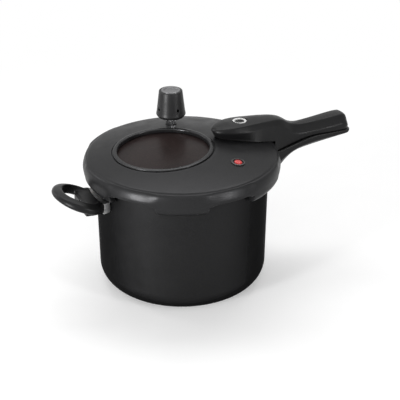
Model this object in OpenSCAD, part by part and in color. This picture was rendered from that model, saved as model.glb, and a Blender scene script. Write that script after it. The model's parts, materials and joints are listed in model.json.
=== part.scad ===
// Stovetop pressure cooker with a twist-on outer lid, a round window and a long double handle.
// Millimetres. The origin is the centre of the base where it meets the hob, +Z is up
// and +X points along the long handle.

/* [Pot] */
// Outer diameter of the pot wall just below the rim
pot_d = 206.6; // [196:0.2:226]
// Height of the rim above the hob
pot_h = 154; // [148:1:190]
// Thickness of the pot wall
pot_wall = 2.8; // [2.4:0.1:3.6]
// Thickness of the pot floor
floor_t = 4.5; // [3.5:0.1:7]
// Inward lean of the wall from the rim to the foot, on the radius
pot_draft = 2; // [0:0.1:4]
// Radius of the rounded foot
foot_r = 25; // [18:0.5:30]
// Width of the bead around the rim, beyond the wall
bead_w = 2.2; // [1.5:0.1:3]
// Thickness of the rim flange
flange_t = 5; // [4:0.1:6]
// Reach of the flange lugs beyond the wall
flange_reach = 10.2; // [9:0.1:12]
// Angle that one flange lug of the pot spans
pot_lug_angle = 26; // [20:0.5:27]

/* [Induction base] */
// Diameter of the perforated steel disc
disc_d = 148; // [120:1:152]
// Thickness of the disc
disc_t = 1.2; // [0.8:0.1:2]
// How far the disc stands below the pot floor
disc_proud = 0.3; // [0.2:0.1:0.6]
// Rings of holes around the centre of the disc
hole_rings = 10; // [4:1:12]
// Diameter of each hole in the disc
disc_hole_d = 2.6; // [1.5:0.1:3.2]
// Plain margin at the edge of the disc
disc_margin = 4; // [2.5:0.5:8]

/* [Lid] */
// Radius of the domed top
dome_r = 505; // [480:5:700]
// Height of the crown of the lid above the pot rim
crown_h = 21.9; // [21.6:0.1:25]
// Thickness of the lid plate
lid_t = 3; // [2.6:0.1:3.4]
// Thickness of the skirt
skirt_t = 3.2; // [2.8:0.1:4]
// Height of the skirt's lower edge below the pot rim
skirt_drop = 5.4; // [4:0.1:6]
// Radius of the rounded shoulder between the top and the skirt
shoulder_r = 6; // [5:0.1:6.6]
// Lugs around the skirt and around the rim
lug_count = 6; // [6:1:6]
// Angle that one lug of the lid spans
lid_lug_angle = 30.4; // [26:0.2:31]
// Angle of the first lug from the long handle
lug_phase = 6; // [0:1:14]
// Height of a lug of the lid, below its bearing face
lid_lug_h = 14; // [11:0.5:15]
// Gap between the lugs of the lid and of the pot
lug_gap = 0.6; // [0.4:0.1:1]
// Gap between the skirt and the flange
skirt_gap = 0.8; // [0.6:0.1:1.2]
// Thickness of the silicone sealing ring
seal_t = 5.4; // [5:0.1:6]
// Width of the sealing ring
seal_w = 15; // [12:0.5:15.5]

/* [Window] */
// Place of the window's centre along the handle
window_x = -24; // [-27:0.1:-20]
// Place of the window's centre across the handle
window_y = 0; // [-3:0.1:3]
// Radius of the clear opening
window_r = 54.5; // [48:0.1:55]
// Width of the bezel's face
bezel_w = 5.1; // [4:0.1:5.2]
// Width of the groove around the bezel
groove_w = 1.4; // [0.8:0.1:1.6]
// Thickness of the glass
glass_t = 5; // [4:0.1:6]
// Depth of the glass below the crest of the bezel
glass_drop = 5.6; // [5.4:0.1:6.5]
// Screws that hold the retaining ring
retainer_screws = 6; // [6:1:6]

/* [Vent and regulator weight] */
// Place of the vent along the handle
vent_x = 15.5; // [10:0.1:22]
// Place of the vent across the handle
vent_y = 66.6; // [64:0.1:74]
// Outer diameter of the vent pipe
pipe_d = 6.8; // [6:0.1:7.4]
// Bore of the vent pipe
pipe_bore = 2.8; // [2:0.1:3.4]
// Diameter of the threaded part of the vent pipe
vent_thread_d = 8; // [7.8:0.1:9]
// Width of the vent nut across its corners
vent_nut_d = 13.2; // [12:0.1:13.4]
// Height of the vent nut
vent_nut_h = 5; // [4:0.1:6]
// Height of the weight above the lid pad
weight_lift_off = 9.6; // [8:0.1:14]
// Widest diameter of the weight
weight_d = 36.8; // [32:0.1:40]
// Diameter of the weight at its top
weight_top_d = 28.6; // [26:0.1:32]
// Height of the weight
weight_h = 34; // [32:0.5:38]
// Diameter of the metal core in the weight
core_d = 20.6; // [18:0.1:22]
// Diameter of the steam holes in the weight
steam_hole_d = 3.6; // [2.5:0.1:4]
// Diameter of the metal cap on the weight
weight_cap_d = 23.4; // [20:0.1:24]

/* [Safety valve] */
// Place of the safety valve along the handle
valve_x = 41.1; // [36:0.1:50]
// Place of the safety valve across the handle
valve_y = -66.7; // [-72:0.1:-60]
// Diameter of the valve collar
valve_d = 16.4; // [15:0.1:18]
// Diameter of the red plug
plug_d = 9.6; // [8:0.1:10]

/* [Lid handle] */
// Reach of the lid handle beyond the skirt
grip_reach = 106.5; // [90:0.5:120]
// Half width of the handle's head
head_w = 21.5; // [20:0.1:23]
// Half width of the handle's neck
neck_w = 13; // [12:0.1:15]
// Half width of the grip near its end
grip_w = 15.5; // [14:0.1:17]
// Height of the head above the lid's crown
head_h = 16.4; // [16:0.1:18]
// Height of the grip's top above the pot rim, at the neck
grip_top = 21.2; // [20:0.1:25]
// Rise of the grip's top towards its end
grip_rise = 3.5; // [1:0.1:5]
// Gap between the two long handles
handle_gap = 0.8; // [0.6:0.1:1.2]

/* [Pot handle] */
// Reach of the pot handle beyond that of the lid handle
pot_grip_extra = 2; // [1:0.5:8]
// Thickness of the pot handle's grip
pot_grip_t = 11.5; // [10:0.1:15]
// Half width of the pot handle at the pot
root_w = 17.5; // [17:0.1:22]
// Thickness of the steel handle bracket
bracket_t = 2.4; // [2:0.1:2.6]

/* [Pressure pin] */
// Distance of the pin from the outside of the skirt
pin_inset = 41.5; // [40.5:0.1:43]
// Diameter of the pin
pin_d = 4; // [3.4:0.1:4.2]
// Travel of the pin
pin_travel = 3.5; // [2.5:0.1:3.8]
// Outer diameter of the white collar
collar_d = 17.4; // [16.8:0.1:20]
// Diameter of the button on the pin
button_d = 11.4; // [10:0.1:11.8]

/* [Helper handle] */
// Reach of the helper handle beyond its bracket
helper_reach = 48.5; // [44:0.5:58]
// Half width of the helper handle
helper_w = 36.5; // [32:0.5:42]
// Width of the loop's bar
helper_bar = 11.5; // [10:0.1:13]
// Thickness of the loop
helper_t = 12.5; // [11:0.1:15]
// Upward tilt of the loop
helper_tilt = 22; // [18:1:26]
// Depth of the metal block that carries the helper handle
helper_block = 8.6; // [7.5:0.1:11]

/* [Fasteners] */
// Diameter of the rivet shanks
rivet_d = 5; // [4:0.1:6]
// Diameter of the handle screws
screw_d = 5; // [4:0.1:5.4]
// Diameter of the retaining ring's screws
small_screw_d = 3; // [2.5:0.1:3.2]

/* [Hidden] */
$fn = 96;

// Clearances
cut = 1;            // overrun of a through cut
slip = 0.2;         // still parts that sit in each other
face = 0.1;         // flat faces of parts on different bodies
run = 0.3;          // moving parts that pass each other
above = 20;         // overrun of a tall cutting body

// Pot
pot_r = pot_d / 2;
foot_wall_r = pot_r - pot_draft;
floor_z = disc_proud;
inner_floor_z = floor_z + floor_t;
bead_r = pot_r + bead_w;
flange_r = pot_r + flange_reach;
flange_z = pot_h - flange_t;
bead_start = 0.5;
bead_slope = 1.2;
bead_low_z = flange_z + bead_start;
bead_full_z = bead_low_z + bead_slope;
rim_edge = 1;
function wall_r(z) = foot_wall_r + pot_draft * (z - foot_r) / (pot_h - foot_r);

// Lid
skirt_in_r = flange_r + skirt_gap;
lid_r = skirt_in_r + skirt_t;
crown_z = pot_h + crown_h;
seat_z = pot_h + seal_t + 2 * face;
skirt_z = pot_h - skirt_drop;
shoulder_lift = 0.22;
shoulder_z = crown_z - lid_r * lid_r / (2 * dome_r) - (1 - shoulder_lift) * shoulder_r;
shoulder_angle = 60;
dome_start = 8;
crease_w = 0.6;
crease_depth = 0.7;
skirt_lean = 0.4;
hook_flat = 3;
hook_round = lid_lug_h - hook_flat;
hook_root = 2;
hook_inset = 1;
seal_out_r = skirt_in_r - slip;
seal_in_r = seal_out_r - seal_w;
seal_lip_h = 1.8;
seal_lip_in = 4;
plate_step = 2;
plate_edge = 1.5;
plate_rim = 8;
plate_r = seal_in_r - plate_step;
lug_top_z = flange_z - lug_gap;
lug_in_r = bead_r + lug_gap;
lug_bottom_z = lug_top_z - lid_lug_h;
function dome_z(r) = crown_z - dome_r + sqrt(dome_r * dome_r - r * r);

// Window, in a frame that stands square on the dome
bezel_r = window_r + bezel_w;
groove_r = bezel_r + groove_w;
tube_wall = 1.7;
window_hole_r = window_r + tube_wall;
tube_low = 0.6;
crest_z = -1.9;
crest_in = 1.3;
crest_w = 1.8;
crest_out = 0.7;
glass_z = crest_z - glass_drop;
glass_lap = 3.9;
glass_r = window_r + glass_lap;
gasket_t = 0.8;
gasket_wall = 1.4;
window_seal_r = glass_r + gasket_wall;
recess_depth = 1;
recess_z = dome_drop(groove_r) - recess_depth;
retainer_z = glass_z - glass_t - gasket_t - face;
retainer_t = 1.5;
retainer_lip = 1;
retainer_r = window_seal_r + run;
boss_r = 4.2;
ear_margin = 1.4;
ear_r = boss_r + ear_margin;
ear_place_r = window_seal_r + slip + boss_r;
vent_bearing = atan2(vent_y - window_y, vent_x - window_x);
function dome_drop(r) = sqrt(dome_r * dome_r - r * r) - dome_r;
function retainer_angle(k) = vent_bearing + (k + 0.5) * 360 / retainer_screws;

// Vent and weight
vent_r = sqrt(vent_x * vent_x + vent_y * vent_y);
pad_margin = 0.4;
pad_proud = 0.3;
vent_pad_r = vent_nut_d / 2 + pad_margin;
vent_pad_z = dome_z(vent_r - vent_pad_r) + pad_proud;
vent_under_z = dome_z(vent_r + vent_pad_r) - lid_t - pad_proud;
vent_washer_t = 1.1;
vent_flange_t = 1.6;
vent_flange_w = 2.4;
vent_flange_r = vent_thread_d / 2 + vent_flange_w;
vent_neck_w = 0.4;
vent_neck_r = vent_thread_d / 2 + vent_neck_w;
vent_neck_h = 2.5;
thread_over_nut = 1.5;
vent_thread_h = vent_nut_h + thread_over_nut;
nut_chamfer_low = 4;
nut_chamfer_top = 1;
vent_chamfer = 0.6;
pipe_tip = 1.2;
filter_wall = 1.2;
filter_h = 5;
filter_floor = 1;
filter_hole_r = 0.6;
filter_hole_at = 3;
weight_z = vent_pad_z + weight_lift_off;
weight_top_z = weight_z + weight_h;
weight_foot_r = 5;
weight_rim_r = 2.4;
cap_depth = 2.2;
cap_proud = 0.6;
cap_rim = 2.6;
cap_dish = 0.8;
core_cover = 5;
core_top_z = weight_top_z - cap_depth - core_cover;
core_h = 13;
core_seat_h = 4.5;
core_seat_gap = 0.4;
pipe_top_z = core_top_z - core_h + core_seat_h;
steam_hole_h = 9.5;
steam_hole_z = weight_z + steam_hole_h;
steam_hole_count = 4;
steam_hole_angle = -37;

// Safety valve, in a frame that stands square on the dome
valve_wall = 1.7;
valve_barrel_r = plug_d / 2 + valve_wall;
valve_below = 5;
valve_depth = lid_t + valve_below;
valve_rim_h = 1.4;
valve_rim_w = 1.2;
valve_dish = 1;
collar_edge = 0.8;
valve_lip = 1.3;
valve_nut_h = 3.2;
valve_nut_wall = 3.25;
plug_round = 2.2;
plug_crown_z = 1.8;

// Lock pin
pin_x = lid_r - pin_inset;
head_z = crown_z + head_h;
pocket_depth = 4.8;
pocket_z = head_z - pocket_depth;
collar_h = 3.1;
collar_round = 0.6;
collar_lip = 0.8;
shelf_t = 3;
shelf_z = pocket_z - shelf_t;
shoulder_h = 1.4;
spring_turns = 5;
spring_wire = 0.7;
spring_h = 10.3;
pin_shoulder_z = shelf_z - face - spring_h - shoulder_h;
pin_seal_t = 1.7;
pin_seal_w = 2.4;
pin_seal_r = pin_d / 2 + pin_seal_w;
pin_seal_z = dome_z(pin_x + pin_seal_r) - lid_t - run - pin_travel - pin_seal_t;
pin_foot_t = 1.3;
pin_foot_in = 0.4;
pin_top = 1;
pin_top_z = pocket_z + pin_top;
button_t = 1.2;
button_crown = 0.5;
button_edge = 0.6;
button_rim = 2;
button_dish = 3.4;
spring_run = 1.4;
spring_r = pin_d / 2 + spring_run;

// Long handles, as side outlines in X and Z
nose_gap = 2.4;
nose_x = window_x + groove_r + nose_gap;
nose_undercut = 5;
nose_r = 10;
nose_drop = 0.5;
head_fall = 1.8;
head_edge = [2.5, 3.2];
head_undercut = [9, 4];
head_side_h = 10;
top_camber = 0.1;
waist_in = 37;
waist_x = lid_r - waist_in;
head_straight = 1.1;
nose_len = waist_x - head_straight - nose_x;
neck_out = 28;
neck_x = lid_r + neck_out;
neck_lap = 8;
fall_in = 5.5;
fall_x = lid_r - fall_in;
fall_run = 44;
grip_swell = 20;
grip_edge = [7.5, 10];
grip_end_side = 6;
end_r = 10;
tip_r = 11;
tip_lean = 1;
grip_end_x = lid_r + grip_reach;
pot_grip_end_x = grip_end_x + pot_grip_extra;
grip_top_z = pot_h + grip_top;
seam_drop = 5.5;
seam_neck_z = pot_h - seam_drop;
seam_rise = 11;
seam_run = 62;
function clamp01(t) = min(max(t, 0), 1);
function ease(t) = (1 - cos(180 * clamp01(t))) / 2;
function seam_z(r) = seam_neck_z + seam_rise * ease((r - lid_r) / seam_run);
saddle_gap = 0.7;
saddle_step = 3;
seam_in = 30;
handle_section_z = pot_h - above;

// Handle bracket and root
plate_in_r = pot_r + slip;
plate_out_r = plate_in_r + bracket_t;
root_gap = 0.9;
root_h = 23;
root_top_z = lug_bottom_z - root_gap;
root_bottom_z = root_top_z - root_h;
root_start_x = pot_r - 5;
root_foot_rise = 3;
root_face_x = lid_r + 1;
under_at = [6, 10];
under_run = [29, 21];
under_belly = 4;
pot_grip_side_r = 9;
pot_grip_tip = [8, 3];
pot_grip_tip_r = 5;
tongue_angle = 31;
tongue_w = 9;
tongue_drop = 13;
tongue_z = root_top_z - tongue_drop;
tongue_len = 46;
tongue_root = 2;
tongue_screw_at = 34;
tongue_screw_in = 4;
tongue_seat = 6;
tongue_bore = 30;
bracket_inset = 4;
bracket_top = 1;
bracket_side = 1;

// Helper handle
helper_drop = 11.5;
helper_z = root_top_z - helper_drop;
helper_block_h = 12.5;
block_chamfer = 1.5;
helper_angle = 12.5;
helper_out_r = plate_in_r + helper_block;
helper_face_x = helper_out_r + slip;
helper_mid = 20;
helper_root_w = 25;
helper_back = 4;
loop_corner = 5;
loop_corner_at = 70;
heel_len = 17.5;
heel_w = 22;
heel_drop = 7.8;
helper_bore_end = 1;
helper_seat = 14;
helper_screw_end = 1.2;
helper_screw_under = 0.5;
helper_socket_t = 1;
helper_socket_r = 0.9;

// Fasteners
rivet_drop = 17;
rivet_z = root_top_z - rivet_drop;
rivet_angle = 6.5;
rivet_head_d = rivet_d * 2;
rivet_head_t = 1.6;
rivet_reach = 7;
rivet_gap = 0.4;
thread_gap = 0.05;
insert_wall = 1.5;
insert_d = screw_d + 2 * insert_wall;
insert_len = 11;
insert_end_t = 1;
front_screw_lead = 17;
rear_screw_lead = 14;
front_screw_x = pin_x - front_screw_lead;
rear_screw_x = pin_x + rear_screw_lead;
screw_head_d = screw_d * 1.8;
screw_head_t = 2.4;
screw_socket_r = 1.1;
screw_socket_t = 1.2;
screw_end_gap = 2;
screw_seal_t = 1.2;
small_head_d = small_screw_d * 1.8;
small_head_t = 1.8;
small_socket_r = 0.8;
small_bore_len = 5.4;
small_end_gap = 0.5;
small_screw_len = small_bore_len + retainer_t - small_end_gap;

function arc_pts(c, r, a0, a1, n = 10) =
    [for (i = [0:n]) let (a = a0 + (a1 - a0) * i / n) [c[0] + r * cos(a), c[1] + r * sin(a)]];
function reversed(p) = [for (i = [len(p) - 1:-1:0]) p[i]];
function both_sides(p) = concat(p, reversed([for (q = p) [q[0], -q[1]]]));
function dome_line(r0, r1, drop, n = 12) =
    [for (i = [0:n]) let (r = r0 + (r1 - r0) * i / n) [r, dome_z(r) - drop]];

// Places children square on the dome above the point x, y
module on_dome(x, y) {
    tilt = asin(sqrt(x * x + y * y) / dome_r);
    translate([0, 0, crown_z - dome_r])
        rotate([0, 0, atan2(y, x)])
        rotate([0, tilt, 0])
        translate([0, 0, dome_r])
        rotate([0, 0, -atan2(y, x)])
        children();
}

// A ring or disc turned from an outline of radius and height
module turned(points) {
    rotate_extrude() polygon(points);
}

// A turned sector around the pot's axis, centred on an angle
module sector(points, centre, span) {
    rotate([0, 0, centre - span / 2]) rotate_extrude(angle = span) polygon(points);
}

// Extrudes an outline in X and Z to both sides of the handle's middle
module side_slab(points, half) {
    translate([0, half, 0]) rotate([90, 0, 0]) linear_extrude(2 * half) polygon(points);
}

// Extrudes an outline in Y and Z along the handle
module end_slab(points, x0, x1) {
    translate([x0, 0, 0]) rotate([90, 0, 90]) linear_extrude(x1 - x0) polygon(points);
}

/* ---- pot ---- */

module pot_body() {
    foot_c = [foot_wall_r - foot_r, floor_z + foot_r];
    outer = concat(
        [[0, floor_z]],
        arc_pts(foot_c, foot_r, -90, 0, 16),
        [[wall_r(bead_low_z), bead_low_z], [bead_r, bead_full_z], [bead_r, pot_h]]);
    inner = concat(
        [[wall_r(pot_h) - pot_wall, pot_h]],
        arc_pts([foot_c[0], inner_floor_z + foot_r - pot_wall], foot_r - pot_wall, 0, -90, 16),
        [[0, inner_floor_z]]);
    mid_wall_r = pot_r - pot_wall / 2;
    lug = [[mid_wall_r, flange_z], [flange_r, flange_z],
        [flange_r, pot_h - rim_edge], [flange_r - rim_edge, pot_h], [mid_wall_r, pot_h]];
    color([0.16, 0.16, 0.17])
    difference() {
        union() {
            turned(concat(outer, inner));
            for (k = [0:lug_count - 1])
                sector(lug, lug_phase + k * 360 / lug_count, pot_lug_angle);
        }
        translate([0, 0, floor_z - cut])
            cylinder(h = cut + disc_t - disc_proud, d = disc_d + 2 * slip);
        rivet_bores();
    }
}

module induction_disc() {
    pitch = (disc_d / 2 - disc_margin - disc_hole_d / 2) / hole_rings;
    color([0.72, 0.72, 0.74])
    linear_extrude(disc_t - face)
    difference() {
        circle(d = disc_d);
        for (ring = [1:hole_rings])
            for (k = [0:6 * ring - 1])
                rotate(k * 60 / ring + 15 * ring)
                translate([ring * pitch, 0])
                circle(d = disc_hole_d, $fn = 24);
    }
}

// Children stand on the pot wall at each rivet, with +X pointing outwards
module rivet_places() {
    for (side = [0, 180])
        for (s = [-1, 1])
            rotate([0, 0, side + s * rivet_angle])
            translate([wall_r(rivet_z), 0, rivet_z])
            children();
}

// Bores through the wall and through whatever is riveted to it
module rivet_bores() {
    rivet_places()
        rotate([0, 90, 0])
        cylinder(h = 2 * rivet_reach, d = rivet_d + 2 * face, center = true);
}

module pot_handle_bracket() {
    low = root_bottom_z + bracket_inset;
    high = root_top_z - bracket_top;
    plate = [[plate_in_r, low], [plate_out_r, low], [plate_out_r, high], [plate_in_r, high]];
    color([0.7, 0.7, 0.72])
    difference() {
        union() {
            sector(plate, 0, 2 * asin(root_w / plate_out_r) - bracket_side);
            difference() {
                tongue(0);
                cylinder(h = pot_h, r = plate_in_r + bracket_t / 2);
            }
        }
        rivet_bores();
        tongue_hole(screw_d / 2 + face);
    }
}

// The sloping strip inside the pot handle, grown by a clearance
module tongue(grow) {
    translate([plate_in_r, 0, tongue_z])
        rotate([0, -tongue_angle, 0])
        translate([-tongue_root, -tongue_w - grow, -bracket_t / 2 - grow])
        cube([tongue_root + tongue_len + grow, 2 * tongue_w + 2 * grow, bracket_t + 2 * grow]);
}

// A bore square to the tongue, from below
module tongue_hole(r, z0 = -tongue_bore, z1 = tongue_screw_in + 4) {
    translate([plate_in_r, 0, tongue_z])
        rotate([0, -tongue_angle, 0])
        translate([tongue_screw_at, 0, z0])
        cylinder(h = z1 - z0, r = r);
}

module bracket_rivets() {
    color([0.75, 0.75, 0.76])
    rivet_places() {
        rotate([0, 90, 0]) translate([0, 0, -pot_wall - rivet_gap - rivet_head_t]) {
            cylinder(h = pot_wall + rivet_gap + rivet_head_t + bracket_t, d = rivet_d);
            cylinder(h = rivet_head_t, d = rivet_head_d);
        }
    }
}

/* ---- long handles ---- */

// Everything above or below the seam between the two long handles
module below_seam(shift) {
    inner = lid_r - seam_in;
    outer = pot_grip_end_x + above;
    pts = [for (i = [0:16]) let (r = lid_r + (outer - lid_r) * i / 16) [r, seam_z(r) + shift]];
    turned(concat([[inner, seam_z(0) + shift]], pts, [[outer, -cut], [inner, -cut]]));
}

// Plan of the pot handle from the wall to its end
function pot_handle_plan() = both_sides(concat(
    [[root_start_x, root_w], [lid_r, root_w]],
    [for (i = [1:8]) let (t = i / 8)
        [lid_r + t * (neck_x - lid_r), root_w + (grip_w - root_w) * ease(t)]],
    arc_pts([pot_grip_end_x - pot_grip_side_r, grip_w - pot_grip_side_r], pot_grip_side_r, 90, 0, 6)));

module pot_handle() {
    end_z = seam_z(pot_grip_end_x);
    tip_z = end_z - pot_grip_t + pot_grip_tip[1];
    over_z = end_z + above;
    side = concat(
        [[root_start_x, root_top_z], [root_start_x, root_bottom_z],
            [lid_r, root_bottom_z + root_foot_rise]],
        [for (i = [0:8]) let (t = i / 8)
            [lid_r + under_at[0] + t * under_run[0],
                root_bottom_z + under_at[1] + t * under_run[1] + under_belly * sin(180 * t) * t]],
        [[pot_grip_end_x - pot_grip_tip[0], tip_z]],
        arc_pts([pot_grip_end_x - pot_grip_tip_r, tip_z + pot_grip_tip_r], pot_grip_tip_r, -60, 0, 4),
        [[pot_grip_end_x, over_z], [root_face_x, over_z], [root_face_x, root_top_z]]);
    color([0.1, 0.1, 0.1])
    difference() {
        intersection() {
            side_slab(side, root_w + 1);
            linear_extrude(pot_h + above) polygon(pot_handle_plan());
            below_seam(-handle_gap / 2);
        }
        cylinder(h = pot_h, r = plate_out_r + slip);
        difference() {
            cylinder(h = pot_h + above, r = lid_r + saddle_gap);
            cylinder(h = root_top_z, r = lid_r + saddle_gap + cut);
        }
        tongue(slip);
        tongue_hole(screw_d / 2 + slip);
        tongue_hole(screw_head_d / 2 + slip, -tongue_bore, -tongue_seat);
    }
}

module pot_handle_screw() {
    low = -tongue_seat - screw_head_t;
    color([0.75, 0.75, 0.76])
    difference() {
        union() {
            tongue_hole(screw_d / 2, -tongue_seat - 1, tongue_screw_in);
            tongue_hole(screw_head_d / 2, low, -tongue_seat - face);
        }
        tongue_hole(screw_socket_r, low - cut, low + screw_socket_t);
    }
}

// Plan of the lid handle: nose, head, neck, grip and rounded end
function lid_handle_plan() = both_sides(concat(
    [for (a = [6:12:90]) [nose_x + nose_len * (1 - cos(a)), head_w * sin(a)]],
    [for (i = [0:8]) let (t = i / 8)
        [waist_x + t * (neck_x - waist_x), head_w + (neck_w - head_w) * ease(t)]],
    [for (i = [1:6]) let (t = i / 6)
        [neck_x + t * (grip_end_x - grip_swell - neck_x), neck_w + (grip_w - neck_w) * ease(t)]],
    arc_pts([grip_end_x - end_r, grip_w - end_r], end_r, 90, 0, 6)));

module lid_handle() {
    grip_z = grip_top_z + grip_rise;
    top = concat(
        [[nose_x + nose_undercut, handle_section_z], [nose_x + nose_undercut, crown_z],
            [nose_x, crown_z + nose_undercut]],
        arc_pts([nose_x + nose_r, head_z - nose_drop - nose_r], nose_r, 170, 100, 5),
        [[nose_x + nose_len, head_z]],
        [for (i = [0:10]) let (t = i / 10)
            [fall_x + t * fall_run, head_z - head_fall
                + (grip_top_z + head_fall - head_z) * ease(t)]],
        arc_pts([grip_end_x - tip_lean - tip_r, grip_z - tip_r], tip_r, 90, 15, 6),
        [[grip_end_x, grip_z - end_r - grip_end_side], [grip_end_x, handle_section_z]]);
    head = both_sides_y([[0, head_z + top_camber], [head_w - head_edge[0], head_z - head_edge[1]],
        [head_w, head_z - head_side_h],
        [head_w - head_undercut[0], crown_z - head_undercut[1]],
        [head_w, lug_top_z], [head_w, handle_section_z]]);
    grip = both_sides_y([[0, grip_z + top_camber], [grip_w - grip_edge[0], grip_z],
        [grip_w, grip_z - grip_edge[1]], [grip_w, handle_section_z]]);
    color([0.1, 0.1, 0.1])
    difference() {
        intersection() {
            side_slab(top, head_w + 1);
            linear_extrude(head_z + cut) polygon(lid_handle_plan());
            union() {
                end_slab(head, nose_x - cut, neck_x - neck_lap);
                end_slab(grip, neck_x - neck_lap - face, grip_end_x + cut);
            }
        }
        lid_solid(face);
        below_seam(handle_gap / 2);
        translate([pin_x, 0, pocket_z]) cylinder(h = above, d = collar_d + 2 * slip);
        translate([pin_x, 0, crown_z - above])
            cylinder(h = head_z - crown_z + 2 * above, r = pin_d / 2 + run);
        translate([pin_x, 0, crown_z - above])
            cylinder(h = shelf_z - crown_z + above, r = spring_r + spring_wire + run);
        for (x = [front_screw_x, rear_screw_x])
            on_dome(x, 0) translate([0, 0, -cut])
            cylinder(h = cut + insert_len + slip, d = insert_d + 2 * face);
    }
}

function both_sides_y(p) = concat(p, reversed([for (q = p) if (q[0] > 0) [-q[0], q[1]]]));

// The space that the lid fills, grown by a clearance, without its details
module lid_solid(grow) {
    saddle_r = lid_r + saddle_gap;
    low = lug_bottom_z - above;
    turned(concat(
        [[0, low], [0, crown_z + grow]],
        dome_line(dome_start, lid_r - shoulder_r / 2, -grow),
        arc_pts([lid_r - shoulder_r, shoulder_z], shoulder_r + grow + slip, shoulder_angle, 0, 6),
        [[saddle_r, shoulder_z - saddle_step], [saddle_r, low]]));
}

/* ---- helper handle ---- */

module helper_bracket() {
    low = helper_z - helper_block_h / 2;
    high = helper_z + helper_block_h / 2;
    block = [[plate_in_r, low + block_chamfer], [plate_in_r + block_chamfer, low],
        [helper_out_r, low], [helper_out_r, high], [plate_in_r, high]];
    color([0.6, 0.6, 0.62])
    difference() {
        sector(block, 180, 2 * helper_angle);
        rivet_places()
            rotate([0, 90, 0])
            translate([0, 0, -cut])
            cylinder(h = cut + slip + bracket_t + rivet_gap, d = rivet_d + 2 * face);
        helper_bore(screw_d / 2 + face, helper_out_r + cut, plate_in_r + helper_bore_end);
    }
}

// A bore along X on the helper side, between two distances from the pot's axis
module helper_bore(r, far, near) {
    translate([-far, 0, helper_z]) rotate([0, 90, 0]) cylinder(h = far - near, r = r);
}

// Points of an oval around the widest place of the helper handle
function oval_pts(length, width, a0, a1, n) =
    [for (i = [0:n]) let (a = a0 + (a1 - a0) * i / n) [helper_mid + length * cos(a), width * sin(a)]];

module helper_handle() {
    reach = helper_reach / cos(helper_tilt);
    far = helper_out_r + helper_reach + above;
    outline = both_sides(concat(
        [[-helper_back, helper_root_w], [0, helper_root_w]],
        oval_pts(reach - helper_mid, helper_w, 110, 0, 14)));
    hole_l = reach - helper_bar - helper_mid;
    hole_w = helper_w - helper_bar;
    corner = [helper_mid + hole_l * cos(loop_corner_at), hole_w * sin(loop_corner_at) - loop_corner];
    hole = both_sides(concat(
        arc_pts(corner, loop_corner, 180, 90, 4),
        oval_pts(hole_l, hole_w, loop_corner_at - 8, 0, 10)));
    color([0.1, 0.1, 0.1])
    difference() {
        union() {
            translate([-helper_face_x, 0, helper_z])
                rotate([0, helper_tilt, 0])
                mirror([1, 0, 0])
                translate([0, 0, -helper_t / 2])
                linear_extrude(helper_t)
                difference() {
                    polygon(outline);
                    polygon(hole);
                }
            translate([-helper_face_x - heel_len, -heel_w, helper_z - heel_drop])
                cube([heel_len + helper_back, 2 * heel_w, heel_drop]);
        }
        translate([0, 0, helper_z - 2 * above]) cylinder(h = 4 * above, r = helper_out_r + slip);
        helper_bore(screw_d / 2 + slip, far, helper_out_r - cut);
        helper_bore(screw_head_d / 2 + slip, far, helper_out_r + helper_seat);
    }
}

module helper_screw() {
    seat = helper_out_r + helper_seat;
    color([0.75, 0.75, 0.76])
    difference() {
        union() {
            helper_bore(screw_d / 2, seat + helper_screw_under, plate_in_r + helper_screw_end);
            helper_bore(screw_head_d / 2, seat + screw_head_t, seat + face);
        }
        helper_bore(helper_socket_r, seat + screw_head_t + cut, seat + screw_head_t - helper_socket_t);
    }
}

/* ---- lid ---- */

module sealing_ring() {
    color([0.85, 0.85, 0.83])
    turned([[seal_in_r, pot_h + face], [seal_out_r, pot_h + face],
        [seal_out_r, seat_z - face], [seal_in_r, seat_z - face],
        [seal_in_r, seat_z - face - seal_lip_h],
        [seal_in_r + seal_lip_in, seat_z - face - 1.5 * seal_lip_h],
        [seal_in_r, seat_z - face - 2 * seal_lip_h]]);
}

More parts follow.
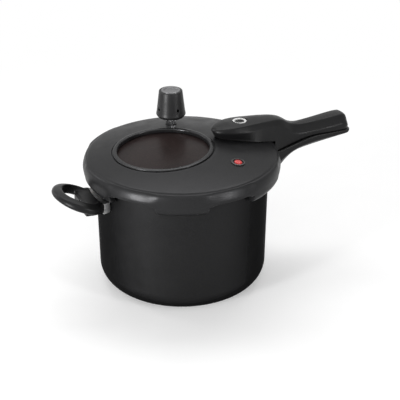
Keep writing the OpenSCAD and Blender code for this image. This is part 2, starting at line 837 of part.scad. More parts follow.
module lid_shell() {
    crease_r = lid_r - shoulder_r + shoulder_r * cos(shoulder_angle);
    crease_z = shoulder_z + shoulder_r * sin(shoulder_angle);
    skirt_low_r = lid_r - skirt_lean;
    shell = concat(
        [[0, crown_z]],
        dome_line(dome_start, crease_r - skirt_lean - crease_w, 0),
        [[crease_r - skirt_lean, crease_z - crease_depth]],
        arc_pts([lid_r - shoulder_r, shoulder_z], shoulder_r, shoulder_angle, 0, 10),
        [[skirt_low_r, skirt_z], [skirt_in_r, skirt_z], [skirt_in_r, seat_z],
            [plate_r, seat_z], [plate_r - plate_edge, dome_z(plate_r - plate_edge) - lid_t]],
        reversed(dome_line(dome_start, plate_r - plate_rim, lid_t)),
        [[0, crown_z - lid_t]]);
    hook = concat(
        [[lug_in_r, lug_top_z], [skirt_in_r, lug_top_z],
            [skirt_in_r + hook_inset, skirt_z + hook_root],
            [skirt_low_r - hook_inset, skirt_z + hook_root]],
        arc_pts([skirt_low_r - hook_round, lug_bottom_z + hook_round], hook_round, 0, -88, 10),
        [[lug_in_r, lug_bottom_z]]);
    color([0.2, 0.2, 0.21])
    difference() {
        union() {
            turned(shell);
            for (k = [0:lug_count - 1])
                sector(hook, lug_phase + k * 360 / lug_count, lid_lug_angle);
            translate([vent_x, vent_y, vent_under_z])
                cylinder(h = vent_pad_z - vent_under_z, r = vent_pad_r);
            retainer_places() translate([0, 0, retainer_z + face])
                cylinder(h = dome_drop(ear_place_r) - lid_t / 2 - retainer_z - face, r = boss_r);
        }
        on_dome(window_x, window_y) {
            translate([0, 0, -above]) cylinder(h = 2 * above, r = window_hole_r);
            translate([0, 0, recess_z]) cylinder(h = above, r = groove_r);
        }
        retainer_places() translate([0, 0, retainer_z - cut])
            cylinder(h = small_bore_len + cut, d = small_screw_d + 2 * thread_gap);
        translate([vent_x, vent_y, 0]) cylinder(h = crown_z + above, d = vent_thread_d + 2 * slip);
        on_dome(valve_x, valve_y)
            translate([0, 0, -above]) cylinder(h = 2 * above, r = valve_barrel_r + slip);
        translate([pin_x, 0, 0]) cylinder(h = crown_z + above, d = pin_d + 2 * run);
        for (x = [front_screw_x, rear_screw_x])
            on_dome(x, 0) translate([0, 0, -above]) cylinder(h = 2 * above, d = screw_d + 2 * slip);
    }
}

/* ---- window ---- */

// Children stand at each screw of the retaining ring, clear of the vent
module retainer_places() {
    on_dome(window_x, window_y)
        for (k = [0:retainer_screws - 1])
            rotate([0, 0, retainer_angle(k)])
            translate([ear_place_r, 0, 0])
            children();
}

module window_bezel() {
    tube_z = glass_z + tube_low;
    color([0.3, 0.3, 0.31])
    on_dome(window_x, window_y)
        turned([[window_r, tube_z], [window_r, crest_z - crest_in], [bezel_r - crest_w, crest_z],
            [bezel_r, crest_z - crest_out], [bezel_r, recess_z + face],
            [window_hole_r - slip, recess_z + face], [window_hole_r - slip, tube_z]]);
}

module window_glass() {
    color([0.16, 0.12, 0.11, 0.7])
    on_dome(window_x, window_y)
        translate([0, 0, glass_z - glass_t]) cylinder(h = glass_t, r = glass_r);
}

module window_gasket() {
    under = dome_drop(window_seal_r) - lid_t - face;
    low = glass_z - glass_t - face;
    color([0.2, 0.2, 0.2])
    on_dome(window_x, window_y)
        turned([[window_hole_r + slip, glass_z + face], [window_hole_r + slip, under],
            [window_seal_r, under], [window_seal_r, low - gasket_t + face],
            [window_hole_r, low - gasket_t + face], [window_hole_r, low],
            [glass_r + slip, low], [glass_r + slip, glass_z + face]]);
}

module window_retainer() {
    color([0.68, 0.68, 0.7])
    on_dome(window_x, window_y)
        translate([0, 0, retainer_z - retainer_t])
        linear_extrude(retainer_t)
        difference() {
            union() {
                circle(r = retainer_r);
                for (k = [0:retainer_screws - 1])
                    rotate(retainer_angle(k)) translate([ear_place_r, 0]) circle(r = ear_r);
            }
            circle(r = window_r - retainer_lip);
            for (k = [0:retainer_screws - 1])
                rotate(retainer_angle(k)) translate([ear_place_r, 0])
                circle(d = small_screw_d + 2 * slip);
        }
}

module retainer_screws() {
    seat = retainer_z - retainer_t - face;
    low = seat - small_head_t;
    color([0.75, 0.75, 0.76])
    retainer_places()
    difference() {
        union() {
            translate([0, 0, low]) cylinder(h = small_head_t, d = small_head_d);
            translate([0, 0, low + face]) cylinder(h = seat - low + small_screw_len, d = small_screw_d);
        }
        translate([0, 0, low - cut]) cylinder(h = cut + small_head_t / 2, r = small_socket_r);
    }
}

/* ---- vent and regulator weight ---- */

module at_vent() {
    translate([vent_x, vent_y, 0]) children();
}

module vent_pipe() {
    flange_top = vent_under_z - face - vent_washer_t - face;
    flange_low = flange_top - vent_flange_t;
    neck_low = flange_low - vent_neck_h;
    thread_top = vent_pad_z + vent_thread_h;
    bore = pipe_bore / 2;
    color([0.75, 0.75, 0.77])
    at_vent()
        turned([[bore, neck_low], [vent_neck_r, neck_low], [vent_neck_r, flange_low],
            [vent_flange_r, flange_low], [vent_flange_r, flange_top],
            [vent_thread_d / 2, flange_top], [vent_thread_d / 2, thread_top - vent_chamfer],
            [pipe_d / 2, thread_top], [pipe_d / 2, pipe_top_z - pipe_tip],
            [pipe_d / 2 - pipe_tip, pipe_top_z], [bore, pipe_top_z]]);
}

module vent_washer() {
    color([0.85, 0.85, 0.83])
    at_vent()
        translate([0, 0, vent_under_z - face - vent_washer_t])
        difference() {
            cylinder(h = vent_washer_t, r = vent_flange_r);
            translate([0, 0, -cut])
                cylinder(h = vent_washer_t + 2 * cut, r = vent_thread_d / 2 + face);
        }
}

module vent_nut() {
    color([0.8, 0.8, 0.82])
    at_vent()
        translate([0, 0, vent_pad_z + face])
        difference() {
            intersection() {
                cylinder(h = vent_nut_h, d = vent_nut_d, $fn = 6);
                cylinder(h = vent_nut_h, d1 = vent_nut_d + nut_chamfer_low,
                    d2 = vent_nut_d - nut_chamfer_top);
            }
            translate([0, 0, -cut])
                cylinder(h = vent_nut_h + 2 * cut, d = vent_thread_d + 2 * thread_gap);
        }
}

module vent_filter() {
    flange_top = vent_under_z - face - vent_washer_t - face;
    top = flange_top - vent_flange_t - face;
    color([0.75, 0.75, 0.77])
    at_vent()
    difference() {
        translate([0, 0, top - filter_h]) cylinder(h = filter_h, r = vent_neck_r + filter_wall);
        translate([0, 0, top - filter_h + filter_floor])
            cylinder(h = filter_h, r = vent_neck_r + face);
        for (k = [0:5])
            rotate([0, 0, 60 * k])
            translate([filter_hole_at, 0, top - filter_h - cut])
            cylinder(h = filter_floor + 2 * cut, r = filter_hole_r);
    }
}

module weight_shell() {
    rim = weight_top_d / 2;
    wide = weight_d / 2;
    cavity = core_d / 2 + face;
    color([0.14, 0.14, 0.15])
    at_vent()
    difference() {
        turned(concat(
            [[cavity, weight_z]],
            arc_pts([wide - weight_foot_r, weight_z + weight_foot_r], weight_foot_r, -90, -8, 6),
            arc_pts([rim - weight_rim_r, weight_top_z - weight_rim_r], weight_rim_r, 8, 90, 5),
            [[weight_cap_d / 2 + face, weight_top_z],
                [weight_cap_d / 2 + face, weight_top_z - cap_depth],
                [0, weight_top_z - cap_depth], [0, core_top_z + face],
                [cavity, core_top_z + face]]));
        for (k = [0:steam_hole_count - 1])
            rotate([0, 0, steam_hole_angle + k * 360 / steam_hole_count])
            translate([0, 0, steam_hole_z])
            rotate([0, 90, 0])
            cylinder(h = weight_d, d = steam_hole_d);
    }
}

module weight_core() {
    core_z = core_top_z - core_h;
    seat = pipe_d / 2 + core_seat_gap;
    color([0.7, 0.62, 0.4])
    at_vent()
        turned([[seat, core_z], [core_d / 2, core_z], [core_d / 2, core_top_z], [0, core_top_z],
            [0, pipe_top_z + run], [seat, pipe_top_z + run]]);
}

module weight_cap() {
    low = weight_top_z - cap_depth + face;
    high = weight_top_z + cap_proud;
    r = weight_cap_d / 2;
    color([0.45, 0.45, 0.46])
    at_vent()
        turned([[0, low], [r, low], [r, high - cap_proud / 2], [r - cap_proud, high],
            [r - cap_rim, high], [r - cap_rim - cap_dish, weight_top_z - cap_dish],
            [0, weight_top_z - cap_dish]]);
}

/* ---- safety valve ---- */

module valve_collar() {
    r = valve_d / 2;
    bore = plug_d / 2 + face;
    color([0.2, 0.2, 0.21])
    on_dome(valve_x, valve_y)
        turned([[bore, -valve_depth], [valve_barrel_r, -valve_depth], [valve_barrel_r, face],
            [r, face], [r, collar_edge], [r - collar_edge, valve_rim_h],
            [r - collar_edge - valve_rim_w, valve_rim_h], [bore + valve_rim_h, -valve_dish],
            [bore, -valve_dish]]);
}

module valve_plug() {
    low = -valve_depth - face;
    r = plug_d / 2;
    color([0.75, 0.06, 0.06])
    on_dome(valve_x, valve_y)
        turned(concat([[0, low - valve_lip], [r + valve_lip, low - valve_lip], [r + valve_lip, low],
                [r, low], [r, plug_crown_z - plug_round]],
            arc_pts([r - plug_round, plug_crown_z - plug_round], plug_round, 0, 80, 5),
            [[0, plug_crown_z]]));
}

module valve_nut() {
    color([0.72, 0.72, 0.74])
    on_dome(valve_x, valve_y)
        translate([0, 0, -lid_t - slip - valve_nut_h])
        difference() {
            cylinder(h = valve_nut_h, r = valve_barrel_r + valve_nut_wall, $fn = 6);
            translate([0, 0, -cut])
                cylinder(h = valve_nut_h + 2 * cut, r = valve_barrel_r + thread_gap);
        }
}

/* ---- fasteners of the lid handle ---- */

module handle_inserts() {
    color([0.8, 0.65, 0.3])
    for (x = [front_screw_x, rear_screw_x])
        on_dome(x, 0)
        translate([0, 0, 2 * face])
        difference() {
            cylinder(h = insert_len, d = insert_d);
            translate([0, 0, -cut])
                cylinder(h = insert_len - insert_end_t + cut, d = screw_d + 2 * thread_gap);
        }
}

module lid_handle_screws() {
    low = -lid_t - face - screw_seal_t - face;
    color([0.75, 0.75, 0.76])
    for (x = [front_screw_x, rear_screw_x])
        on_dome(x, 0)
        difference() {
            union() {
                translate([0, 0, low - screw_head_t]) cylinder(h = screw_head_t, d = screw_head_d);
                translate([0, 0, low - face])
                    cylinder(h = face - low + insert_len - insert_end_t - screw_end_gap, d = screw_d);
            }
            translate([0, 0, low - screw_head_t - cut])
                cylinder(h = cut + screw_socket_t, r = screw_socket_r);
        }
}

module screw_seals() {
    color([0.85, 0.85, 0.83])
    for (x = [front_screw_x, rear_screw_x])
        on_dome(x, 0)
        translate([0, 0, dome_drop(screw_head_d / 2) - lid_t - face - screw_seal_t])
        difference() {
            cylinder(h = screw_seal_t, d = screw_head_d);
            translate([0, 0, -cut])
                cylinder(h = screw_seal_t + 2 * cut, d = screw_d + 2 * face);
        }
}

/* ---- pressure pin ---- */

module at_pin() {
    translate([pin_x, 0, 0]) children();
}

module pin_collar() {
    bore = button_d / 2 + run;
    r = collar_d / 2;
    high = pocket_z + collar_h;
    color([0.92, 0.92, 0.9])
    at_pin()
        turned([[bore, pocket_z + face], [r, pocket_z + face],
            [r, high - collar_round], [r - collar_round, high],
            [bore + collar_lip, high], [bore, high - collar_lip]]);
}

module lock_pin() {
    foot_z = pin_seal_z - face - pin_foot_t;
    base_r = pin_seal_r - pin_foot_in;
    r = pin_d / 2;
    spring_seat_z = pin_shoulder_z + shoulder_h - face;
    color([0.75, 0.75, 0.77])
    at_pin()
        turned([[0, foot_z], [base_r, foot_z], [base_r, foot_z + pin_foot_t],
            [r, foot_z + pin_foot_t], [r, pin_shoulder_z],
            [spring_r + spring_wire, pin_shoulder_z], [spring_r + spring_wire, spring_seat_z],
            [r, spring_seat_z], [r, pin_top_z], [0, pin_top_z]]);
}

module pin_button() {
    low = pocket_z + run;
    top = low + button_t;
    r = button_d / 2;
    color([0.12, 0.12, 0.12])
    at_pin()
        turned([[pin_d / 2 + face, low], [r, low], [r, top],
            [r - button_edge, top + button_crown], [r - button_rim, top + button_crown],
            [r - button_dish, top], [0, top], [0, pin_top_z + face],
            [pin_d / 2 + face, pin_top_z + face]]);
}

module pin_seal() {
    color([0.85, 0.85, 0.83])
    at_pin()
        turned([[pin_d / 2 + face, pin_seal_z], [pin_seal_r, pin_seal_z],
            [pin_seal_r, pin_seal_z + pin_seal_t], [pin_d / 2 + face, pin_seal_z + pin_seal_t]]);
}

// A coil spring swept as a tube along a helix
module pin_spring() {
    sides = 8;
    steps = 14 * spring_turns;
    z0 = pin_shoulder_z + shoulder_h + spring_wire / 2;
    rise = spring_h - spring_wire;
    pts = [for (i = [0:steps]) for (j = [0:sides - 1])
        let (a = 360 * spring_turns * i / steps, b = 360 * j / sides,
            r = spring_r + spring_wire / 2 * cos(b))
        [r * cos(a), r * sin(a), z0 + rise * i / steps + spring_wire / 2 * sin(b)]];
    sides_f = [for (i = [0:steps - 1]) for (j = [0:sides - 1])
        let (k = (j + 1) % sides)
        [i * sides + j, (i + 1) * sides + j, (i + 1) * sides + k, i * sides + k]];
    ends = [[for (j = [0:sides - 1]) j], [for (j = [sides - 1:-1:0]) steps * sides + j]];
    color([0.7, 0.7, 0.72])
    at_pin() polyhedron(pts, concat(sides_f, ends));
}

pot_body();
induction_disc();
pot_handle_bracket();
bracket_rivets();
pot_handle();
pot_handle_screw();
helper_bracket();
helper_handle();
helper_screw();
sealing_ring();
lid_shell();
window_bezel();
window_gasket();
window_glass();
window_retainer();
retainer_screws();
vent_pipe();
vent_washer();
vent_nut();
vent_filter();
weight_shell();
weight_core();
weight_cap();
valve_collar();
valve_plug();
valve_nut();
lid_handle();
handle_inserts();
lid_handle_screws();
screw_seals();
pin_collar();
lock_pin();
pin_button();
pin_seal();
pin_spring();
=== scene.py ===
import json
import math

import bmesh
import bpy
from mathutils import Matrix, Vector


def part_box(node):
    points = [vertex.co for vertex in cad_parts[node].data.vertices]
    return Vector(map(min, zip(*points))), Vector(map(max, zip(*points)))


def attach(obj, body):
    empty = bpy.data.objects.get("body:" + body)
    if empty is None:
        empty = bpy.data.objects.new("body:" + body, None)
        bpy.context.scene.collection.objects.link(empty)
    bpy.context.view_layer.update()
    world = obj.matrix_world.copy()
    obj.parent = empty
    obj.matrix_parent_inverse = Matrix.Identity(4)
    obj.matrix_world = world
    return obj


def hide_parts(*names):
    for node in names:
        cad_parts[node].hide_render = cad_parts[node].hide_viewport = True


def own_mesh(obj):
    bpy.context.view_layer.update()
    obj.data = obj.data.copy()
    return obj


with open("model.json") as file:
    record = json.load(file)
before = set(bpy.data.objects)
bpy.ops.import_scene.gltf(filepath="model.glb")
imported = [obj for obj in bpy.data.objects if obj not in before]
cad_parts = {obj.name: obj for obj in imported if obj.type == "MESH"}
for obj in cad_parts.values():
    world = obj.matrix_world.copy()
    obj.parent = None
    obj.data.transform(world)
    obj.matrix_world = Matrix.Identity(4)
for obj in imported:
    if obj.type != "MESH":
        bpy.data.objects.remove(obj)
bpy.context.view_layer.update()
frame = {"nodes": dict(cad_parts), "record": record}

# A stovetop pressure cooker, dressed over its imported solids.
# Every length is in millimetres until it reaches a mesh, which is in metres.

MM = 0.001
scene = bpy.context.scene


def box_mm(node):
    """Lowest corner, highest corner and middle of a CAD node, in millimetres."""
    low, high = (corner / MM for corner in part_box(node))
    return low, high, (low + high) / 2


# ---------------------------------------------------------------- camera and light

VIEW_TURN = 25.0
VIEW_PITCH = 26.53
CAMERA_PLACE = (-0.529, -1.1855, 0.748)
LENS = 108
SENSOR = 36
FAR_CLIP = 30

camera_data = bpy.data.cameras.new("camera")
camera_data.sensor_width = SENSOR
camera_data.lens = LENS
camera_data.clip_end = FAR_CLIP
camera = bpy.data.objects.new("camera", camera_data)
camera.location = CAMERA_PLACE
camera.rotation_euler = (math.radians(90 - VIEW_PITCH), 0, math.radians(-VIEW_TURN))
scene.collection.objects.link(camera)
scene.camera = camera
scene.view_settings.view_transform = "Standard"


def towards_camera(right, back, up):
    """A point from its distances to the right, to the back and up, as the camera stands."""
    turn = math.radians(VIEW_TURN)
    x = right * math.cos(turn) + back * math.sin(turn)
    y = -right * math.sin(turn) + back * math.cos(turn)
    return Vector((x, y, up))


LIT_POINT = Vector((0, 0, 0.1))


def softbox(name, place, size, power):
    """A rectangular lamp that faces the object."""
    data = bpy.data.lights.new(name, "AREA")
    data.shape = "RECTANGLE"
    data.size, data.size_y = size
    data.energy = power
    lamp = bpy.data.objects.new(name, data)
    lamp.location = place
    lamp.rotation_euler = (LIT_POINT - place).to_track_quat("-Z", "Y").to_euler()
    scene.collection.objects.link(lamp)


# Name: place to the right, back and up in metres, width and height in metres, watts
LAMPS = {
    "overhead": ((0, 0.75, 1.75), (1.8, 0.9), 18),
    "back_left": ((-1.5, 0.65, 0.95), (0.6, 0.9), 5),
    "left_strip": ((-1.14, -1.12, 0.22), (0.28, 0.4), 29),
    "right_strip": ((1.3, -1.0, 0.4), (0.25, 1.0), 12),
    "front_fill": ((0.3, -1.3, 1.6), (1.5, 1.0), 3),
}
for lamp_name, (lamp_place, lamp_size, watts) in LAMPS.items():
    softbox(lamp_name, towards_camera(*lamp_place), lamp_size, watts)


# ---------------------------------------------------------------- node materials

# Noise scales are in cells per metre and bump distances in metres. White surroundings show in
# every gloss, so the gloss of black parts is low to keep them black.

def map_range(tree, value, low, high, out_low, out_high):
    """Maps a value from one span to another, held at the ends."""
    node = tree.nodes.new("ShaderNodeMapRange")
    spans = {"From Min": low, "From Max": high, "To Min": out_low, "To Max": out_high}
    for key, number in spans.items():
        node.inputs[key].default_value = number
    tree.links.new(value, node.inputs["Value"])
    return node.outputs["Result"]


class Shader:
    """A principled material and the few node chains that its surfaces share."""

    def __init__(self, name, colour, roughness, metallic=0.0):
        self.material = bpy.data.materials.new(name)
        self.material.use_nodes = True
        self.tree = self.material.node_tree
        self.surface = self.tree.nodes["Principled BSDF"]
        self.colour = colour
        self.surface.inputs["Roughness"].default_value = roughness
        self.surface.inputs["Metallic"].default_value = metallic
        self.place = self.add("ShaderNodeTexCoord").outputs["Object"]
        self.height = None

    def add(self, kind, **settings):
        node = self.tree.nodes.new(kind)
        for key, value in settings.items():
            setattr(node, key, value)
        return node

    def link(self, start, end):
        self.tree.links.new(start, end)

    def noise(self, scale, detail=4.0, stretch=(1, 1, 1), roughness=0.55):
        """Noise over the object, scale in cells per metre."""
        mapping = self.add("ShaderNodeMapping")
        mapping.inputs["Scale"].default_value = stretch
        self.link(self.place, mapping.inputs["Vector"])
        texture = self.add("ShaderNodeTexNoise")
        texture.inputs["Scale"].default_value = scale
        texture.inputs["Detail"].default_value = detail
        texture.inputs["Roughness"].default_value = roughness
        self.link(mapping.outputs["Vector"], texture.inputs["Vector"])
        return texture.outputs["Fac"]

    def ramp(self, value, low, high, out_low, out_high):
        return map_range(self.tree, value, low, high, out_low, out_high)

    def span(self, value, out_low, out_high):
        """Maps the middle of a noise, where most of it lies, to a span."""
        return self.ramp(value, 0.3, 0.7, out_low, out_high)

    def mix(self, share, first, second):
        """Colour between two colours, each a tuple or a socket."""
        node = self.add("ShaderNodeMix", data_type="RGBA")
        self.link(share, node.inputs["Factor"])
        first_socket, second_socket, result = node.inputs[6], node.inputs[7], node.outputs[2]
        for socket, value in ((first_socket, first), (second_socket, second)):
            if isinstance(value, tuple):
                socket.default_value = (*value, 1)
            else:
                self.link(value, socket)
        return result

    def tint(self, share, darker, lighter):
        """Varies the base colour between two multiples of itself."""
        dark = tuple(c * darker for c in self.colour)
        light = tuple(c * lighter for c in self.colour)
        return self.mix(share, dark, light)

    def wear_and_sheen_edges(self, colour, wear_and_sheen_colour, amount):
        """Lets a lighter colour through where the surface turns sharply outwards: rubbed wear on coats, and
        wear with a painted sheen on mouldings.
        """
        edge = self.add("ShaderNodeNewGeometry").outputs["Pointiness"]
        rubbed_and_sheen = self.ramp(edge, 0.52, 0.6, 0.0, amount)
        patchy = self.add("ShaderNodeMath", operation="MULTIPLY")
        self.link(rubbed_and_sheen, patchy.inputs[0])
        self.link(self.ramp(self.noise(900, 6), 0.35, 0.65, 0.2, 1.0), patchy.inputs[1])
        return self.mix(patchy.outputs["Value"], colour, wear_and_sheen_colour)

    def bump(self, value, distance, strength=1.0):
        """Raises the surface by a distance in metres; calls stack up."""
        node = self.add("ShaderNodeBump")
        node.inputs["Distance"].default_value = distance
        node.inputs["Strength"].default_value = strength
        self.link(value, node.inputs["Height"])
        if self.height is not None:
            self.link(self.height, node.inputs["Normal"])
        self.height = node.outputs["Normal"]
        self.link(self.height, self.surface.inputs["Normal"])

    def paint(self, colour):
        self.link(colour, self.surface.inputs["Base Color"])

    def roughen(self, value):
        self.link(value, self.surface.inputs["Roughness"])


# Colours that show through at rubbed edges (the moulding's one is also a painted sheen), and of the flecks
# on the glass
RUBBED_COAT = (0.13, 0.13, 0.135)
MOULDING_WEAR_AND_SHEEN = (0.05, 0.05, 0.05)
GLASS_FLECK = (0.09, 0.06, 0.055)


def coated(name, colour, roughness, grain, gloss, metallic=0.0, edge=1.0):
    """Fine-grained stoved coat on aluminium: soft mottling, a grain in the gloss, rubbed edges.

    Edge is how strongly it shines at grazing angles.
    """
    s = Shader(name, colour, roughness, metallic)
    s.surface.inputs["Specular IOR Level"].default_value = gloss
    s.surface.inputs["Specular Tint"].default_value = (edge, edge, edge, 1)
    cloud = s.span(s.noise(9, 3), 0.0, 1.0)
    speck = s.ramp(s.noise(1800, 2), 0.42, 0.62, 0.0, 1.0)
    body = s.mix(speck, tuple(c * 0.8 for c in colour), tuple(c * 1.35 for c in colour))
    mottled = s.mix(cloud, body, tuple(c * 1.1 for c in colour))
    s.paint(s.wear_and_sheen_edges(mottled, RUBBED_COAT, 0.35))
    s.roughen(s.span(s.noise(60, 5), roughness - 0.05, roughness + 0.07))
    s.bump(s.noise(1500, 2), 0.00005 * grain, 0.5)
    s.bump(s.noise(260, 3), 0.00008 * grain, 0.3)
    return s.material


def moulded(name, colour, roughness, grain=1.0, gloss=0.5):
    """Moulded phenolic: fine spark-eroded grain, faint flow marks, and handled edges painted lighter as
    rubbed wear and a painted sheen.
    """
    s = Shader(name, colour, roughness)
    s.surface.inputs["Specular IOR Level"].default_value = gloss
    flow = s.span(s.noise(14, 4, (0.3, 1, 1)), 0.0, 1.0)
    # Lighter edges here are rubbed wear and a painted sheen standing in for shinier handled edges.
    s.paint(s.wear_and_sheen_edges(s.tint(flow, 0.85, 1.2), MOULDING_WEAR_AND_SHEEN, 0.5))
    s.roughen(s.span(s.noise(120, 5), roughness - 0.06, roughness + 0.08))
    s.bump(s.noise(2200, 3), 0.00006 * grain, 0.4)
    s.bump(s.noise(90, 2), 0.00015, 0.2)
    return s.material


def bare_metal(name, colour, roughness, stretch=(1, 1, 1), scale=500, marks=1.0):
    """Bare or plated metal with its brushing, turning or drawing marks."""
    s = Shader(name, colour, roughness, 1.0)
    lines = s.noise(scale, 6, stretch, 0.7)
    s.paint(s.tint(s.span(s.noise(30, 4), 0.0, 1.0), 0.85, 1.08))
    s.roughen(s.span(lines, max(0.04, roughness - 0.1), roughness + 0.12))
    s.bump(lines, 0.00004 * marks, 0.35)
    return s.material


def silicone(name, colour, roughness, see_in):
    """Moulded silicone: dusty sheen, faint waviness and light passing into thin lips."""
    s = Shader(name, colour, roughness)
    s.surface.inputs["Subsurface Weight"].default_value = see_in
    s.surface.inputs["Subsurface Radius"].default_value = (0.002, 0.0012, 0.0009)
    s.surface.inputs["Sheen Weight"].default_value = 0.15
    s.paint(s.tint(s.span(s.noise(160, 5), 0.0, 1.0), 0.88, 1.08))
    s.roughen(s.span(s.noise(400, 4), roughness - 0.08, roughness + 0.1))
    s.bump(s.noise(700, 3), 0.00006, 0.4)
    return s.material


def tinted_glass():
    """Toughened glass with a brown tint, a trace of smearing and water marks."""
    s = Shader("tinted_glass", (0.022, 0.0155, 0.0148), 0.3)
    s.surface.inputs["IOR"].default_value = 1.3
    s.surface.inputs["Specular IOR Level"].default_value = 0.1
    s.surface.inputs["Transmission Weight"].default_value = 0.12
    cloud = s.tint(s.span(s.noise(25, 4), 0.0, 1.0), 0.8, 1.25)
    s.paint(s.mix(s.ramp(s.noise(1400, 2), 0.55, 0.7, 0.0, 0.7), cloud, GLASS_FLECK))
    s.roughen(s.span(s.noise(40, 6, (1, 2, 1)), 0.28, 0.34))
    s.bump(s.noise(1200, 2), 0.00003, 0.3)
    return s.material


MATERIALS = {
    "coated_aluminium": coated(
        "coated_aluminium", (0.0205, 0.0205, 0.021), 0.42, grain=1.0, gloss=0.03, metallic=0.85, edge=0.08),
    "coated_lid": coated(
        "coated_lid", (0.024, 0.024, 0.0248), 0.34, grain=1.2, gloss=0.1, metallic=0.6, edge=0.7),
    "disc_steel": bare_metal("disc_steel", (0.5, 0.5, 0.52), 0.3, (1, 30, 1), 300),
    "bracket_steel": bare_metal("bracket_steel", (0.75, 0.75, 0.75), 0.34, (1, 1, 8), 150, marks=0.1),
    "rivet_aluminium": bare_metal("rivet_aluminium", (0.62, 0.62, 0.63), 0.35),
    "bakelite": moulded("bakelite", (0.0072, 0.0072, 0.0075), 0.36, gloss=0.14),
    "screw_steel": bare_metal("screw_steel", (0.55, 0.55, 0.56), 0.3, scale=900),
    "pale_silicone": silicone("pale_silicone", (0.6, 0.59, 0.56), 0.55, see_in=0.3),
    "dark_silicone": silicone("dark_silicone", (0.012, 0.012, 0.012), 0.6, see_in=0.0),
    "red_silicone": silicone("red_silicone", (0.62, 0.015, 0.015), 0.32, see_in=0.15),
    "bezel_metal": coated(
        "bezel_metal", (0.03, 0.03, 0.031), 0.27, grain=0.6, gloss=0.3, metallic=0.6, edge=0.6),
    "tinted_glass": tinted_glass(),
    "vent_steel": bare_metal("vent_steel", (0.6, 0.6, 0.61), 0.25, (1, 1, 30), 400),
    "nut_chrome": bare_metal("nut_chrome", (0.5, 0.5, 0.51), 0.16, scale=700, marks=0.5),
    "weight_black": moulded("weight_black", (0.014, 0.014, 0.0145), 0.4, grain=1.3, gloss=0.2),
    "core_brass": bare_metal("core_brass", (0.62, 0.44, 0.2), 0.3, (1, 1, 30), 400),
    "cap_metal": bare_metal("cap_metal", (0.17, 0.17, 0.175), 0.33, scale=900),
    "collar_metal": coated("collar_metal", (0.01, 0.01, 0.01), 0.28, grain=0.5, gloss=0.4),
    "white_plastic": moulded("white_plastic", (0.8, 0.8, 0.79), 0.25, grain=0.3),
    "button_black": moulded("button_black", (0.006, 0.006, 0.006), 0.2, grain=0.3, gloss=0.1),
    "spring_steel": bare_metal("spring_steel", (0.5, 0.5, 0.51), 0.3, scale=1500),
}


# ---------------------------------------------------------------- shaping tools

def arc(centre, radius, start, end, steps=8):
    """Points of an arc, with angles in degrees."""
    angles = (math.radians(start + (end - start) * i / steps) for i in range(steps + 1))
    return [(centre[0] + radius * math.cos(a), centre[1] + radius * math.sin(a)) for a in angles]


def ease(t):
    """Smooth step from 0 to 1."""
    t = min(max(t, 0.0), 1.0)
    return t * t * (3 - 2 * t)


def between(a, b, t):
    """The value a share t of the way from a to b."""
    return a + (b - a) * t


def bent(start, bend, end, t):
    """A point of the smooth curve that leaves start towards bend and reaches end from it."""
    return start * (1 - t) ** 2 + bend * 2 * t * (1 - t) + end * t * t


def rounded(corners, closed=True, steps=5):
    """An outline through corners (x, y, radius), each turned over steps + 1 points."""
    outline = []
    last = len(corners) - 1
    for i, (x, y, radius) in enumerate(corners):
        here = Vector((x, y))
        if not closed and i in (0, last):
            outline += [here] * (steps + 1) if radius else [here]
            continue
        back = Vector(corners[i - 1][:2]) - here
        ahead = Vector(corners[(i + 1) % (last + 1)][:2]) - here
        half = back.angle(ahead) / 2
        reach = min(radius / math.tan(half), 0.49 * back.length, 0.49 * ahead.length)
        start = here + back.normalized() * reach
        end = here + ahead.normalized() * reach
        outline += [bent(start, here, end, k / steps) for k in range(steps + 1)]
    return outline


def turned(outline, place=Matrix.Identity(4), segments=96, closed=True, start=0, sweep=360):
    """Points and faces of an outline of (radius, height) turned about the Z axis of a place."""
    whole = abs(sweep - 360) < 1e-6
    columns = segments if whole else segments + 1
    points = []
    for i in range(columns):
        a = math.radians(start + sweep * i / segments)
        points += [place @ Vector((r * math.cos(a), r * math.sin(a), z)) for r, z in outline]
    n = len(outline)
    faces = []
    for i in range(segments):
        a, b = i * n, (i + 1) % columns * n
        for j in range(n if closed else n - 1):
            k = (j + 1) % n
            faces.append((a + j, b + j, b + k, a + k))
    if not whole:
        faces.append(tuple(range(n)))
        faces.append(tuple(reversed(range(segments * n, columns * n))))
    return points, faces


def loft(rings, wrap=False):
    """Points and faces through equal rings of points, with its ends closed unless it wraps."""
    n = len(rings[0])
    count = len(rings)
    points = [p for ring in rings for p in ring]
    faces = []
    for i in range(count if wrap else count - 1):
        a, b = i * n, (i + 1) % count * n
        faces += [(a + j, a + (j + 1) % n, b + (j + 1) % n, b + j) for j in range(n)]
    if not wrap:
        faces.append(tuple(range(n)))
        faces.append(tuple(reversed(range((count - 1) * n, count * n))))
    return points, faces


def joined(*forms):
    """Several forms as one list of points and one of faces."""
    points, faces = [], []
    for form_points, form_faces in forms:
        shift = len(points)
        points += form_points
        faces += [tuple(i + shift for i in face) for face in form_faces]
    return points, faces


def mesh_of(name, form):
    """A mesh in metres from a form's points and faces in millimetres."""
    points, faces = form
    mesh = bpy.data.meshes.new(name)
    mesh.from_pydata([Vector(p) * MM for p in points], [], faces)
    return mesh


WELD = 2e-6
NO_LENGTH = 1e-7


